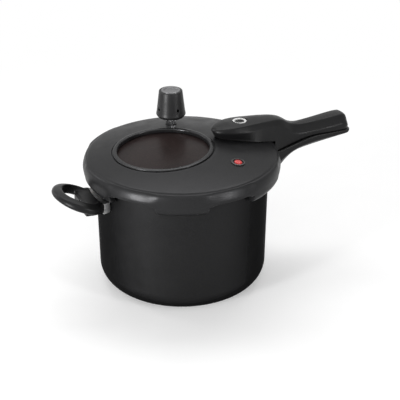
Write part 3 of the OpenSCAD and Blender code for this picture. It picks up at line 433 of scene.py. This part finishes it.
def piece(name, form, body, slot, node, crease=38):
    """Makes a form into a smooth mesh that rides on a CAD body and stands for its node."""
    mesh = mesh_of(name, form)
    work = bmesh.new()
    work.from_mesh(mesh)
    bmesh.ops.remove_doubles(work, verts=work.verts, dist=WELD)
    bmesh.ops.dissolve_degenerate(work, edges=work.edges, dist=NO_LENGTH)
    bmesh.ops.recalc_face_normals(work, faces=work.faces)
    for face in work.faces:
        face.smooth = True
    for edge in work.edges:
        edge.smooth = not edge.is_manifold or edge.calc_face_angle() < math.radians(crease)
    work.to_mesh(mesh)
    work.free()
    made = bpy.data.objects.new(name, mesh)
    scene.collection.objects.link(made)
    mesh.materials.append(MATERIALS[slot])
    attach(made, body)
    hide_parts(node)
    return made


def applied(made):
    """Makes what the modifiers of a piece do into its own mesh."""
    bpy.context.view_layer.update()
    graph = bpy.context.evaluated_depsgraph_get()
    result = bpy.data.meshes.new_from_object(made.evaluated_get(graph))
    made.modifiers.clear()
    made.data = result


def cut_away(made, form):
    """Cuts a closed form out of a piece."""
    mesh = mesh_of(made.name + "_cutter", form)
    work = bmesh.new()
    work.from_mesh(mesh)
    bmesh.ops.recalc_face_normals(work, faces=work.faces)
    work.to_mesh(mesh)
    work.free()
    cutter = bpy.data.objects.new(mesh.name, mesh)
    scene.collection.objects.link(cutter)
    cut = made.modifiers.new("cut", "BOOLEAN")
    cut.object = cutter
    cut.solver = "EXACT"
    applied(made)
    bpy.data.objects.remove(cutter)


def blended(made, cell, rounds):
    """Fuses the overlapping forms of a piece into one moulded skin and softens where they meet."""
    fuse = made.modifiers.new("fuse", "REMESH")
    fuse.mode = "VOXEL"
    fuse.voxel_size = cell * MM
    fuse.use_smooth_shade = True
    soften = made.modifiers.new("soften", "SMOOTH")
    soften.factor = 0.5
    soften.iterations = rounds
    applied(made)


# ---------------------------------------------------------------- places from the frame

# R is a radius from the pot's axis, Z a height above the hob, and a SPAN an angle in degrees.
RIM_Z = box_mm("pot_body")[1].z
FLANGE_R = box_mm("pot_body")[1].x
LID_R = box_mm("lid_shell")[1].x
LUG_LOW_Z = box_mm("lid_shell")[0].z
SKIRT_GAP = 0.8
SKIRT_IN_R = FLANGE_R + SKIRT_GAP
DOME_R = 505.0
CROWN_Z = RIM_Z + 21.9
SEAT_Z = box_mm("sealing_ring")[1].z + 0.1
SKIRT_Z = RIM_Z - 5.4
LUG_COUNT = 6
LUG_PHASE = 6.0
LUG_SPAN = 30.4
POT_LUG_SPAN = 26.0
GLASS_DEPTH = 10
WINDOW_X = box_mm("window_glass")[2].x * DOME_R / (DOME_R - GLASS_DEPTH)


def dome_drop(r):
    """How far the dome has fallen at a distance from its top, as a negative height."""
    return math.sqrt(DOME_R ** 2 - r * r) - DOME_R


def dome_z(r):
    """The height of the dome's outside at a distance from the pot's axis."""
    return CROWN_Z - DOME_R + math.sqrt(DOME_R ** 2 - r * r)


def on_dome(x, y):
    """A place that stands square on the dome above the point x, y."""
    bearing = math.atan2(y, x)
    tilt = math.asin(math.hypot(x, y) / DOME_R)
    centre = Matrix.Translation((0, 0, CROWN_Z - DOME_R))
    turn = Matrix.Rotation(bearing, 4, "Z")
    up = Matrix.Translation((0, 0, DOME_R))
    return centre @ turn @ Matrix.Rotation(tilt, 4, "Y") @ up @ turn.inverted()


def upright(node):
    """A place at the middle of a node, at the height of the hob."""
    middle = box_mm(node)[2]
    return Matrix.Translation((middle.x, middle.y, 0))


# ---------------------------------------------------------------- floor

def seen_directly(tree):
    """1 for rays of the camera, of reflections and of glass, which see white surroundings, else 0."""
    path = tree.nodes.new("ShaderNodeLightPath")
    seen = path.outputs["Is Camera Ray"]
    for ray in ("Is Glossy Ray", "Is Transmission Ray"):
        either = tree.nodes.new("ShaderNodeMath")
        either.operation = "MAXIMUM"
        tree.links.new(seen, either.inputs[0])
        tree.links.new(path.outputs[ray], either.inputs[1])
        seen = either.outputs["Value"]
    return seen


FLOOR_REACH = 6
PAPER_DARK, PAPER_LIGHT = 0.78, 0.82
PAPER_GRAIN = 300
PAPER_GLOW = 0.31
SHADOW_REACH = 0.2
WHITE_REACH = 0.8


def pale_floor():
    """A wide round floor that keeps the object's shadow and turns plain white further out."""
    mesh = bpy.data.meshes.new("floor")
    angles = [math.radians(a) for a in range(0, 360, 5)]
    edge = [(FLOOR_REACH * math.cos(a), FLOOR_REACH * math.sin(a), 0) for a in angles]
    mesh.from_pydata(edge, [], [tuple(range(len(edge)))])
    floor = bpy.data.objects.new("floor", mesh)
    scene.collection.objects.link(floor)
    material = bpy.data.materials.new("floor_paper")
    material.use_nodes = True
    tree = material.node_tree
    tree.nodes.clear()

    def combined(kind, *parts):
        node = tree.nodes.new(kind)
        for socket, value in zip(node.inputs, parts):
            tree.links.new(value, socket)
        return node.outputs["Shader"]

    def glow(strength):
        node = tree.nodes.new("ShaderNodeEmission")
        node.inputs["Strength"].default_value = strength
        return node.outputs["Emission"]

    diffuse = tree.nodes.new("ShaderNodeBsdfDiffuse")
    grain = tree.nodes.new("ShaderNodeTexNoise")
    grain.inputs["Scale"].default_value = PAPER_GRAIN
    shade = map_range(tree, grain.outputs["Fac"], 0, 1, PAPER_DARK, PAPER_LIGHT)
    tree.links.new(shade, diffuse.inputs["Color"])
    paper = diffuse.outputs["BSDF"]
    lit = combined("ShaderNodeAddShader", paper, glow(PAPER_GLOW))
    place = tree.nodes.new("ShaderNodeTexCoord")
    distance = tree.nodes.new("ShaderNodeVectorMath")
    distance.operation = "LENGTH"
    tree.links.new(place.outputs["Object"], distance.inputs[0])
    far = map_range(tree, distance.outputs["Value"], SHADOW_REACH, WHITE_REACH, 0, 1)
    seen = combined("ShaderNodeMixShader", far, lit, glow(1))
    surface = combined("ShaderNodeMixShader", seen_directly(tree), paper, seen)
    output = tree.nodes.new("ShaderNodeOutputMaterial")
    tree.links.new(surface, output.inputs["Surface"])
    mesh.materials.append(material)


pale_floor()


WORLD_LIGHT = 0.25


def studio_world():
    """Even pale surroundings: white where they are seen, and a plain grey light."""
    world = bpy.data.worlds.new("studio")
    scene.world = world
    world.use_nodes = True
    tree = world.node_tree
    background = tree.nodes["Background"]
    background.inputs["Color"].default_value = (1, 1, 1, 1)
    strength = map_range(tree, seen_directly(tree), 0, 1, WORLD_LIGHT, 1)
    tree.links.new(strength, background.inputs["Strength"])


studio_world()


# ---------------------------------------------------------------- pot

POT_R = FLANGE_R - 10.2
WALL_T = 2.8
DRAFT = 2.0
FOOT_ROUND = 25.0
FOOT_Z = 0.3
BASE_T = 4.5
INNER_FLOOR_Z = FOOT_Z + BASE_T
BEAD_R = POT_R + 2.2
FLANGE_Z = RIM_Z - 5
DISC_R = box_mm("induction_disc")[1].x
RECESS_Z = 1.2


def pot_body():
    foot = (POT_R - DRAFT - FOOT_ROUND, FOOT_Z + FOOT_ROUND)
    inner_r = POT_R - WALL_T
    inner_round = FOOT_ROUND - WALL_T
    recess = [(0, RECESS_Z), (DISC_R + 0.2, RECESS_Z), (DISC_R + 0.2, FOOT_Z + 0.4), (DISC_R + 0.6, FOOT_Z)]
    rim = rounded([
        (POT_R - 0.06, FLANGE_Z + 0.3, 0), (BEAD_R, FLANGE_Z + 1.7, 1.2), (BEAD_R, RIM_Z, 1.4),
        (inner_r, RIM_Z, 1.2), (inner_r - 0.2, RIM_Z - 12, 0)], closed=False)
    inner_foot = arc((foot[0], INNER_FLOOR_Z + FOOT_ROUND - WALL_T), inner_round, 0, -90, 14)
    outline = recess + arc(foot, FOOT_ROUND, -90, 0, 18) + rim + inner_foot + [(0, INNER_FLOOR_Z)]
    forms = [turned(outline, segments=180, closed=False)]
    root_r = POT_R - 1.4
    lug = rounded([
        (root_r, FLANGE_Z, 0.3), (FLANGE_R, FLANGE_Z, 0.8), (FLANGE_R, RIM_Z, 1.2),
        (root_r, RIM_Z - 0.05, 0.3)], steps=4)
    for k in range(LUG_COUNT):
        start = LUG_PHASE + k * 360 / LUG_COUNT - POT_LUG_SPAN / 2
        forms.append(turned(lug, segments=14, start=start, sweep=POT_LUG_SPAN))
    piece("pot_shell", joined(*forms), "pot", "coated_aluminium", "pot_body")


pot_body()


# ---------------------------------------------------------------- lid

WINDOW_TILT = math.asin(WINDOW_X / DOME_R)
WINDOW = on_dome(WINDOW_X, 0)
GROOVE_R = 61.0
WINDOW_HOLE_R = 56.2
LID_T = 3.0
GLASS_T = 5
CREASE_R = LID_R - 4.2
LUG_IN_R = BEAD_R + 0.6
LUG_TOP_Z = FLANGE_Z - 0.6
LUG_ROUND = 11.0
LUG_CORNER = 2.2
PLATE_R = SKIRT_IN_R - 17.2
GROOVE_DROP = dome_drop(GROOVE_R)

# How far inside the lid's crease and how far below the dome the points of its soft valley lie
CREASE_VALLEY = ((2.4, 0.08), (1.8, 0.3), (1.2, 0.6), (0.7, 0.8), (0.3, 0.84))


def spread(line, count):
    """The same line as a number of points at equal distances."""
    line = [Vector(p) for p in line]
    steps = [(b - a).length for a, b in zip(line, line[1:])]
    wanted = [sum(steps) * i / (count - 1) for i in range(count)]
    found, walked, i = [], 0.0, 0
    for distance in wanted:
        while i < len(steps) - 1 and distance > walked + steps[i]:
            walked += steps[i]
            i += 1
        share = min(1.0, (distance - walked) / steps[i])
        found.append(line[i].lerp(line[i + 1], share))
    return found


def on_sphere(radius, tilt, cone, angle):
    """A point of the dome or its underside, on a circle whose axis tilts towards the window."""
    a = math.radians(angle)
    around = Vector((math.sin(cone) * math.cos(a), math.sin(cone) * math.sin(a), math.cos(cone)))
    centre = Matrix.Translation((0, 0, CROWN_Z - DOME_R))
    return centre @ Matrix.Rotation(tilt, 4, "Y") @ (around * radius)


def shelf_line(radius, inner, outer, angle, steps):
    """A line over the dome from a circle round the window to one round the lid."""
    line = []
    for i in range(steps + 1):
        t = i / steps
        cone = between(math.asin(inner / radius), math.asin(outer / radius), t)
        line.append(on_sphere(radius, WINDOW_TILT * (1 - t), cone, angle))
    return line


def skirt_outside(tight):
    """The roll from the crease down the skirt: tight over a lug, generous between lugs."""
    start = Vector((CREASE_R + 0.1, dome_z(CREASE_R) - 0.75))
    bend = Vector((between(LID_R - 1.4, LID_R, tight), between(SKIRT_Z + 11, SKIRT_Z + 14, tight)))
    end = Vector((LID_R, SKIRT_Z + 3))
    return [bent(start, bend, end, i / 10) for i in range(11)]


# The section of a lug from the skirt's outside, round under the pot's lug and up inside the skirt
LUG_LINE = [
    (LID_R - 0.1, SKIRT_Z + 1.5), (LID_R - 0.3, SKIRT_Z - 1.5),
    *arc((LID_R - 0.4 - LUG_ROUND, LUG_LOW_Z + LUG_ROUND), LUG_ROUND, 0, -84, 9),
    (LUG_IN_R + 0.5, LUG_LOW_Z), (LUG_IN_R, LUG_LOW_Z + 0.6), (LUG_IN_R, LUG_TOP_Z - 0.5),
    (LUG_IN_R + 0.5, LUG_TOP_Z), (SKIRT_IN_R - 0.2, LUG_TOP_Z), (SKIRT_IN_R, LUG_TOP_Z + 0.3),
]


def gap_line(drop):
    """The skirt's rounded lower edge between two lugs, lowered by a drop next to a lug."""
    low = SKIRT_Z - drop
    line = rounded([
        (LID_R - 0.1, SKIRT_Z + 1.5, 0), (LID_R - 0.2, low, 1.3), (SKIRT_IN_R, low, 0.8),
        (SKIRT_IN_R, SKIRT_Z + 1, 0)], closed=False)
    return spread(line, len(LUG_LINE))


def lid_column(angle, offset):
    """The lid's whole section at an angle, which is an offset away from the middle of its lug."""
    half = LUG_SPAN / 2
    tight = ease((half + 4 - abs(offset)) / 7)
    past = min(max(0.0, (abs(offset) - half + LUG_CORNER) / LUG_CORNER), 1.0)
    lug = (1 - past ** 3) ** (1 / 3)
    gap = gap_line(2.4 * ease((half + 6 - abs(offset)) / 5))
    low = [Vector(g).lerp(Vector(p), lug) for g, p in zip(gap, LUG_LINE)]
    a = math.radians(angle)
    under_r = PLATE_R - 1.5
    window = [
        (WINDOW_HOLE_R, dome_drop(WINDOW_HOLE_R) - LID_T + 0.2), (WINDOW_HOLE_R, GROOVE_DROP - 1),
        (GROOVE_R - 0.3, GROOVE_DROP - 1), (GROOVE_R, GROOVE_DROP - 0.7), (GROOVE_R, GROOVE_DROP - 0.3)]
    crease = [(CREASE_R - back, dome_z(CREASE_R - back) - deep) for back, deep in CREASE_VALLEY]
    seat = [(SKIRT_IN_R, SEAT_Z), (PLATE_R, SEAT_Z), (under_r, dome_z(under_r) - LID_T)]
    edge = crease + skirt_outside(tight) + low + seat
    column = [WINDOW @ Vector((r * math.cos(a), r * math.sin(a), z)) for r, z in window]
    column += shelf_line(DOME_R, GROOVE_R + 0.3, CREASE_R - 3.0, angle, 14)
    column += [Vector((r * math.cos(a), r * math.sin(a), z)) for r, z in edge]
    column += reversed(shelf_line(DOME_R - LID_T, WINDOW_HOLE_R + 0.4, PLATE_R - 3, angle, 8))
    return column


def vent_pad():
    """The round pad of the lid that the vent's nut stands on."""
    bore, wide = 4.2, 7
    nut_low, _, middle = box_mm("vent_nut")
    high = nut_low.z - 0.1
    low = dome_z(math.hypot(middle.x, middle.y) + wide) - LID_T - 0.3
    outline = [
        (bore, low), (wide, low), (wide, high - 0.8), (wide - 0.2, high - 0.3), (wide - 0.8, high),
        (bore, high)]
    return turned(outline, upright("vent_nut"), 48)


def lid_shell():
    half = LUG_SPAN / 2
    pitch = 360 / LUG_COUNT
    start, end = half - LUG_CORNER, half + 0.05
    inner = [start * t for t in (0.25, 0.5, 0.75, 1)]
    inner += [between(start, half, math.sin(t * math.pi / 20)) for t in range(1, 11)]
    outer = [between(end, pitch / 2, t) for t in (0, 0.05, 0.12, 0.22, 0.35, 0.5, 0.75, 1)]
    offsets = sorted([0.0] + inner + outer + [-t for t in inner + outer[:-1]])
    columns = [lid_column(LUG_PHASE + k * pitch + t, t) for k in range(LUG_COUNT) for t in offsets]
    form = joined(loft(columns, wrap=True), vent_pad())
    piece("lid_plate", form, "lid", "coated_lid", "lid_shell")


lid_shell()


def window_parts():
    crest = -1.9
    glass_top = crest - 5.6
    glass_low = glass_top - GLASS_T
    foot = glass_top + 0.6
    shelf = GROOVE_DROP - 0.9
    inner, outer, neck = 54.5, GROOVE_R - 1.4, WINDOW_HOLE_R - 0.2
    bezel = rounded([
        (inner, foot, 0.2), (inner, crest - 0.2, 1.8), (outer - 2, crest, 1.6), (outer, crest - 0.6, 0.8),
        (outer, shelf, 0.1), (neck, shelf, 0.1), (neck, foot, 0.2)])
    piece("window_ring", turned(bezel, WINDOW, 160), "lid", "bezel_metal", "window_bezel")
    r = box_mm("window_glass")[1].y
    glass = rounded([(0, glass_low, 0), (r, glass_low, 0.5), (r, glass_top, 0.5), (0, glass_top, 0)], False)
    pane = turned(glass, WINDOW, 128, closed=False)
    piece("window_pane", pane, "lid", "tinted_glass", "window_glass")


window_parts()


# ---------------------------------------------------------------- long handles

SEAM_LOW_Z = RIM_Z - 5.5
SEAM_HALF = 0.45
HANDLE_LOW, HANDLE_HIGH, _ = box_mm("lid_handle")
NOSE_X = HANDLE_LOW.x
GRIP_END_X = HANDLE_HIGH.x
HEAD_Z = HANDLE_HIGH.z
HEAD_W = HANDLE_HIGH.y
NECK_X = LID_R + 28
GRIP_Z = RIM_Z + 21.2
GRIP_RISE = 3.5
NECK_W = 13.0
GRIP_W = 15.5


def seam_z(r):
    """The height of the seam between the two grips at a distance from the pot's axis."""
    return SEAM_LOW_Z + 11 * ease((r - LID_R) / 62)


def through(x, stations):
    """A smooth curve through stations (x, value), level beyond its ends."""
    if x <= stations[0][0]:
        return stations[0][1]
    for i in range(len(stations) - 1):
        (x0, a), (x1, b) = stations[i], stations[i + 1]
        if x <= x1:
            before = stations[i - 1] if i else (x0, a)
            after = stations[i + 2] if i + 2 < len(stations) else (x1, b)
            slope_a = (b - before[1]) / (x1 - before[0])
            slope_b = (after[1] - a) / (after[0] - x0)
            t, h = (x - x0) / (x1 - x0), x1 - x0
            return ((2 * t ** 3 - 3 * t ** 2 + 1) * a + (t ** 3 - 2 * t ** 2 + t) * h * slope_a
                    + (3 * t ** 2 - 2 * t ** 3) * b + (t ** 3 - t ** 2) * h * slope_b)
    return stations[-1][1]


def mirrored(half_ring):
    """A closed ring from its half with y above 0, from top to bottom."""
    return list(half_ring) + [(-y, z) for y, z in reversed(half_ring) if y > 1e-6]


def lid_handle():
    nose_len = 40.0
    end_r = 10.0
    nose_drop = 8.8
    waist = 37
    flare_x = 50
    bend_x, bend_end_x = 96, 146
    grip_x = 106
    edge_x = LID_R + 0.6
    fall = [
        (NOSE_X + 44, HEAD_Z), (LID_R - 8, HEAD_Z - 1.6), (LID_R + 12, HEAD_Z - 5.6),
        (LID_R + 27, GRIP_Z + 2.2), (LID_R + 40, GRIP_Z - 0.3), (GRIP_END_X - 12, GRIP_Z + GRIP_RISE)]

    def on_lid(x, y):
        """The height of the lid's dome below a point of the foot, with a hair of room."""
        return dome_z(min(math.hypot(x, y), LID_R - 2)) + 0.2

    def section(x, half, top, share):
        """One ring across the handle; share is 0 over the head and 1 along the grip."""
        small = min(1.0, half / HEAD_W)
        flare = ease((x - flare_x) / 48)
        edge_w = half - between(between(2.6 * small, half * 0.32, flare), 7.0, share)
        edge_z = top - between(3.0 * small, 0.5, share)
        mid_z = top - between(9.6 * small + 0.4, 10.5, share)
        foot_w = between(between(half * 0.7, half * 1.04, flare), half - 0.5, share)
        low_w = between(between(half * 0.68, half * 1.01, flare), half - 0.1, share)
        mid_w = between(between(half, half * 0.88, flare), half, share)
        if x < edge_x:
            foot_z = on_lid(x, foot_w)
            low_z = foot_z + 2.5
        else:
            foot_z = seam_z(x) + SEAM_HALF
            low_z = between(dome_z(LID_R - 2) + 2.7, foot_z + 4, ease((x - LID_R) / 8))
        corners = [
            (0.0, top + 0.05, 0), (edge_w, edge_z, between(3.2, 5, share)), (mid_w, mid_z, 5),
            (low_w, low_z, 3), (foot_w, foot_z, 1.2), (0.0, foot_z, 0)]
        ring = []
        bend = ease((x - bend_x) / 16) * ease((bend_end_x - x) / 20)
        for y, z in mirrored(rounded(corners, closed=False, steps=6)):
            back = 5.0 * (1 - small) * min(1.0, max(0.0, (mid_z - z) / (mid_z - foot_z)))
            px = x + back * (x < NOSE_X + nose_len) - bend * y * y / (2 * LID_R)
            if x < edge_x and z <= foot_z + 0.3:
                z = on_lid(px, y)
            ring.append(Vector((px, y, z)))
        return ring

    rings = []
    for a in (5, 12, 20, 29, 38, 48, 58, 68, 79, 90):
        x = NOSE_X + nose_len * (1 - math.cos(math.radians(a)))
        lift = max(0.0, 1 - (x - NOSE_X) / 34)
        top = HEAD_Z - nose_drop * (1 - math.sqrt(1 - lift ** 2))
        rings.append(section(x, HEAD_W * math.sin(math.radians(a)), top, 0))
    stops = [*range(84, 113, 4), 115.5, LID_R + 0.5, LID_R + 0.9, *range(121, 146, 3),
             149, 153, 158, 164, *range(171, 204, 8), GRIP_END_X - 14]
    for x in stops:
        if x < NECK_X:
            half = between(HEAD_W, NECK_W, ease((x - LID_R + waist) / (NECK_X - LID_R + waist)))
        else:
            half = between(NECK_W, GRIP_W, ease((x - NECK_X) / (GRIP_END_X - 20 - NECK_X)))
        rings.append(section(x, half, through(x, fall), ease((x - grip_x) / 42)))
    for a in (12, 26, 40, 54, 68, 80):
        turn = math.radians(a)
        x = GRIP_END_X - end_r * (1 - math.sin(turn))
        half = GRIP_W - end_r * (1 - math.cos(turn))
        rings.append(section(x, half, GRIP_Z + GRIP_RISE - 11 * (1 - math.cos(turn)), 1))
    made = piece("lid_grip", loft(rings), "lid", "bakelite", "lid_handle", crease=50)
    collar_low, collar_high, middle = box_mm("pin_collar")
    rim = collar_high.x - middle.x + 0.2
    floor = collar_low.z - 0.1
    pocket = [
        (0, floor), (rim, floor), (rim, HEAD_Z - 0.9), (rim + 0.9, HEAD_Z + 0.2), (rim + 0.9, HEAD_Z + 3),
        (0, HEAD_Z + 3)]
    cut_away(made, turned(pocket, upright("pin_collar"), 64, False))


lid_handle()


def pot_handle():
    low, high, _ = box_mm("pot_handle")
    root_w = high.y
    end_x = high.x
    root_top = LUG_LOW_Z - 0.9
    end_r = 9.0
    grip_t = 8.6
    under = [
        (low.x + 3, low.z + 0.3), (LID_R - 1, low.z + 2.2), (LID_R + 7, low.z + 9.5),
        (LID_R + 17, low.z + 20), (LID_R + 29, low.z + 28.5), (LID_R + 45, low.z + 32.5),
        (end_x - 8, seam_z(end_x) - grip_t)]

    def section(x, half, top, bottom):
        """One ring across the handle, flat on top where it meets the seam."""
        corners = [
            (0.0, top, 0), (half, top, 1.6), (half, between(bottom, top, 0.45), 4),
            (half * 0.62, bottom + 0.5, 5), (0.0, bottom, 0)]
        bend = ease((x - 100) / 8) * ease((150 - x) / 20)
        return [Vector((x - bend * y * y / (2 * LID_R), y, z))
                for y, z in mirrored(rounded(corners, closed=False, steps=6))]

    plate_r = POT_R + 2.9
    stops = [plate_r, 110, 113, 116, LID_R + 0.8, LID_R + 1.4, *range(122, 143, 4), 147, 153, 160, 168,
             *range(177, 205, 9), 212, end_x - end_r]
    rings = []
    for x in stops:
        half = between(root_w, GRIP_W, ease((x - LID_R) / (NECK_X - LID_R)))
        top = root_top if x < LID_R + 1 else seam_z(x) - SEAM_HALF
        rings.append(section(x, half, top, through(x, under)))
    for a in (15, 32, 50, 68, 82):
        turn = math.radians(a)
        x = end_x - end_r * (1 - math.sin(turn))
        inwards = 1 - math.cos(turn)
        top = seam_z(x) - SEAM_HALF - 1.2 * inwards
        bottom = seam_z(x) - grip_t + 3.5 * inwards
        rings.append(section(x, GRIP_W - end_r * inwards, top, bottom))
    piece("pot_grip", loft(rings), "pot", "bakelite", "pot_handle", crease=50)


pot_handle()


# ---------------------------------------------------------------- helper handle

HELPER_TILT = 22
HELPER_REACH = 48.5
BAR_W = 11.4
BAR_T = 13.0
PATH_MIDDLE = 20.0


def bar_rings(place, half_w):
    """Rings along the loop's bar: a wide turn whose ends run into the root."""
    reach = HELPER_REACH / math.cos(math.radians(HELPER_TILT))
    long_way = reach - PATH_MIDDLE - BAR_W / 2 - 0.3
    side_way = half_w - BAR_W / 2 - 0.3
    angles = [math.radians(130 - 260 * i / 40) for i in range(41)]
    path = [Vector((PATH_MIDDLE + long_way * math.cos(a), side_way * math.sin(a))) for a in angles]
    path = [Vector((-1, path[0].y - 5))] + path + [Vector((-1, path[-1].y + 5))]
    rings = []
    for i, here in enumerate(path):
        along = (path[min(i + 1, len(path) - 1)] - path[max(i - 1, 0)]).normalized()
        side = Vector((along.y, -along.x))
        slim = between(0.9, 1.0, ease(abs(here.y) / side_way * 1.4 - 0.3))
        half_t = BAR_T / 2 * slim
        outline = rounded([
            (-BAR_W / 2, 2 - half_t, 4.4), (BAR_W / 2, -half_t, 3.4), (BAR_W / 2, half_t + 0.7, 3),
            (-BAR_W / 2, half_t - 3.6, 5)])
        rings.append([place @ Vector((here.x + side.x * p, here.y + side.y * p, q)) for p, q in outline])
    return rings


def helper_handle():
    low, high, _ = box_mm("helper_handle")
    screw_low, screw_high, root = box_mm("helper_screw")
    face_r = -box_mm("helper_bracket")[0].x + 0.2
    place = (Matrix.Translation((-face_r, 0, root.z))
             @ Matrix.Rotation(math.radians(HELPER_TILT), 4, "Y") @ Matrix.Diagonal((-1, 1, 1, 1)))

    def slab(half, low_t, high_t, low_soft, high_soft):
        """A box's section with rounded corners."""
        return rounded([
            (-half, low_t, low_soft), (half, low_t, low_soft), (half, high_t, high_soft),
            (-half, high_t, high_soft)], steps=4)

    web = []
    for u, half, low_t, high_t, soft in (
            (-3, 25.4, -6, 7, 1.6), (1.5, 26, -6, 7, 1.6), (5, 27.5, -6, 5.4, 1.8), (10, 29, -5.8, 3, 1.8),
            (15.5, 29, -5, 0.4, 1.8)):
        web.append([place @ Vector((u, w, t)) for w, t in slab(half, low_t, high_t, soft, soft)])
    heel = []
    for out, half, top in ((-3, 21.8, 4), (9, 21.8, 5), (17.3, 20.4, 5)):
        outline = slab(half, low.z + 0.1, root.z + top, 2.4, 3)
        heel.append([Vector((-(face_r + out), y, z)) for y, z in outline])
    form = joined(loft(bar_rings(place, high.y)), loft(web), loft(heel))
    made = piece("side_loop", form, "pot", "bakelite", "helper_handle")
    blended(made, 0.7, 9)
    inside = [(0, 60), (face_r + 0.1, 60), (face_r + 0.1, 160), (0, 160)]
    cut_away(made, turned(inside, segments=180, closed=False))
    screw_r = (screw_high.y - screw_low.y) / 2 + 0.3
    seat = -screw_low.x - 3
    sideways = Matrix.Translation((0, 0, root.z)) @ Matrix.Rotation(-math.pi / 2, 4, "Y")
    bore = [(0, seat), (screw_r, seat), (screw_r, seat + 63), (0, seat + 63)]
    cut_away(made, turned(bore, sideways, 40, False))


helper_handle()


# ---------------------------------------------------------------- regulator weight

STEAM_HOLES = 4
STEAM_PHASE = -82
STEAM_RISE = 12
STEAM_R = 1.8


def weight():
    low, high, _ = box_mm("weight_shell")
    cap_low, cap_high, _ = box_mm("weight_cap")
    core_low, core_high, _ = box_mm("weight_core")
    place = upright("weight_shell")
    wide = (high.x - low.x) / 2
    rim = 14.3
    cap_r = (cap_high.x - cap_low.x) / 2
    cavity = (core_high.x - core_low.x) / 2 + 0.1
    cap_seat = high.z - 2.2
    roof = core_high.z + 0.1
    rises = (7, 8.5, 10.5, 12, 15, 19, 23)
    side = [(between(wide, rim, rise / (high.z - low.z)), low.z + rise, 0) for rise in rises]
    outline = rounded([
        (cavity, low.z, 0.3), (wide - 2.8, low.z, 1.6), (wide, low.z + 3.4, 2.6), *side, (rim, high.z, 2.8),
        (cap_r + 0.1, high.z, 0.5), (cap_r + 0.1, cap_seat, 0.1), (2, cap_seat, 0.1), (2, roof, 0.1),
        (cavity, roof, 0.3)])
    body = piece("weight_skirt", turned(outline, place, 96), "weight", "weight_black", "weight_shell")
    drill = [(0, 12), (STEAM_R, 12), (STEAM_R, 24), (0, 24)]
    for k in range(STEAM_HOLES):
        a = math.radians(STEAM_PHASE + 360 / STEAM_HOLES * k)
        hole = (place @ Matrix.Translation((0, 0, low.z + STEAM_RISE)) @ Matrix.Rotation(a, 4, "Z")
                @ Matrix.Rotation(math.pi / 2, 4, "Y"))
        cut_away(body, turned(drill, hole, 24, False))
    top = cap_high.z
    dish = rounded([
        (0, cap_low.z, 0), (cap_r, cap_low.z, 0.2), (cap_r, top - 0.1, 0.7), (cap_r - 2.8, top, 0.5),
        (cap_r - 3.6, top - 1.3, 0.6), (0, top - 1.4, 0)], closed=False)
    button = turned(dish, place, 96, closed=False)
    piece("weight_button", button, "weight", "cap_metal", "weight_cap")


weight()


# ---------------------------------------------------------------- valve and pin

VALVE_X, VALVE_Y = 41.1, -66.7


def safety_valve():
    place = on_dome(VALVE_X, VALVE_Y)
    plug_r = 4.8
    collar_r = 8.2
    bore = plug_r + 0.1
    foot = -8
    ring = rounded([
        (bore, foot, 0.1), (plug_r + 1.7, foot, 0.2), (plug_r + 1.7, 0.1, 0.1), (collar_r, 0.1, 0.1),
        (collar_r, 1.1, 0.7), (collar_r - 1.9, 1.45, 0.6), (plug_r + 0.9, -0.9, 0.4), (bore, -1, 0.1)])
    piece("valve_ring", turned(ring, place, 72), "lid", "collar_metal", "valve_collar")
    dome = rounded([
        (0, -9.5, 0), (plug_r + 1.3, -9.5, 0.4), (plug_r + 1.3, -8.1, 0.3), (plug_r, -8.1, 0.1),
        (plug_r, 0.6, 1.6), (3.4, 1.5, 1.4), (0, 1.8, 0)], closed=False)
    plug = turned(dome, place, 64, closed=False)
    piece("valve_dome", plug, "lid", "red_silicone", "valve_plug")


safety_valve()


def pin_top():
    low, high, middle = box_mm("pin_collar")
    button_low, button_high, _ = box_mm("pin_button")
    stem_top = box_mm("lock_pin")[1].z + 0.1
    stem_r = 2.1
    place = upright("pin_collar")
    outer = high.x - middle.x
    r = button_high.x - middle.x
    ring = rounded([
        (r + 0.3, low.z, 0.1), (outer, low.z, 0.1), (outer, high.z - 0.1, 0.8), (outer - 1.1, high.z, 0.6),
        (r + 0.9, high.z - 0.1, 0.5), (r + 0.3, high.z - 0.9, 0.4)])
    piece("pin_ring", turned(ring, place, 80), "lid", "white_plastic", "pin_collar")
    foot, top = button_low.z, button_high.z
    cap = rounded([
        (stem_r, foot, 0.1), (r, foot, 0.2), (r, top - 0.1, 0.6), (r - 1.2, top, 0.5),
        (r - 3, top - 0.45, 1.5), (0, top - 0.5, 0), (0, stem_top, 0), (stem_r, stem_top, 0.1)])
    piece("pin_dish", turned(cap, place, 64), "pin", "button_black", "pin_button")


pin_top()


COIL_TURNS = 5
WIRE_R = 0.35


def pin_spring():
    """The pin's coil spring, a fixed coil that rides on the lid."""
    low, high, middle = box_mm("pin_spring")
    coil_r = high.x - middle.x - WIRE_R
    steps = 20 * COIL_TURNS
    place = upright("pin_spring")
    rings = []
    for i in range(steps + 1):
        turn = Matrix.Rotation(2 * math.pi * COIL_TURNS * i / steps, 4, "Z")
        z = between(low.z + WIRE_R + 0.05, high.z - WIRE_R, i / steps)
        rings.append([place @ turn @ Vector((r, 0, h)) for r, h in arc((coil_r, z), WIRE_R, 0, 315, 7)])
    coil = piece("pin_coil", loft(rings), "lid", "spring_steel", "pin_spring", crease=60)
    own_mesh(coil)


pin_spring()


# ---------------------------------------------------------------- the rest of the CAD nodes

SLOTS = {row["node"]: row["material_slot"] for row in frame["record"]["subparts"]}
for node_name, solid in frame["nodes"].items():
    solid.data.materials.clear()
    solid.data.materials.append(MATERIALS[SLOTS[node_name]])
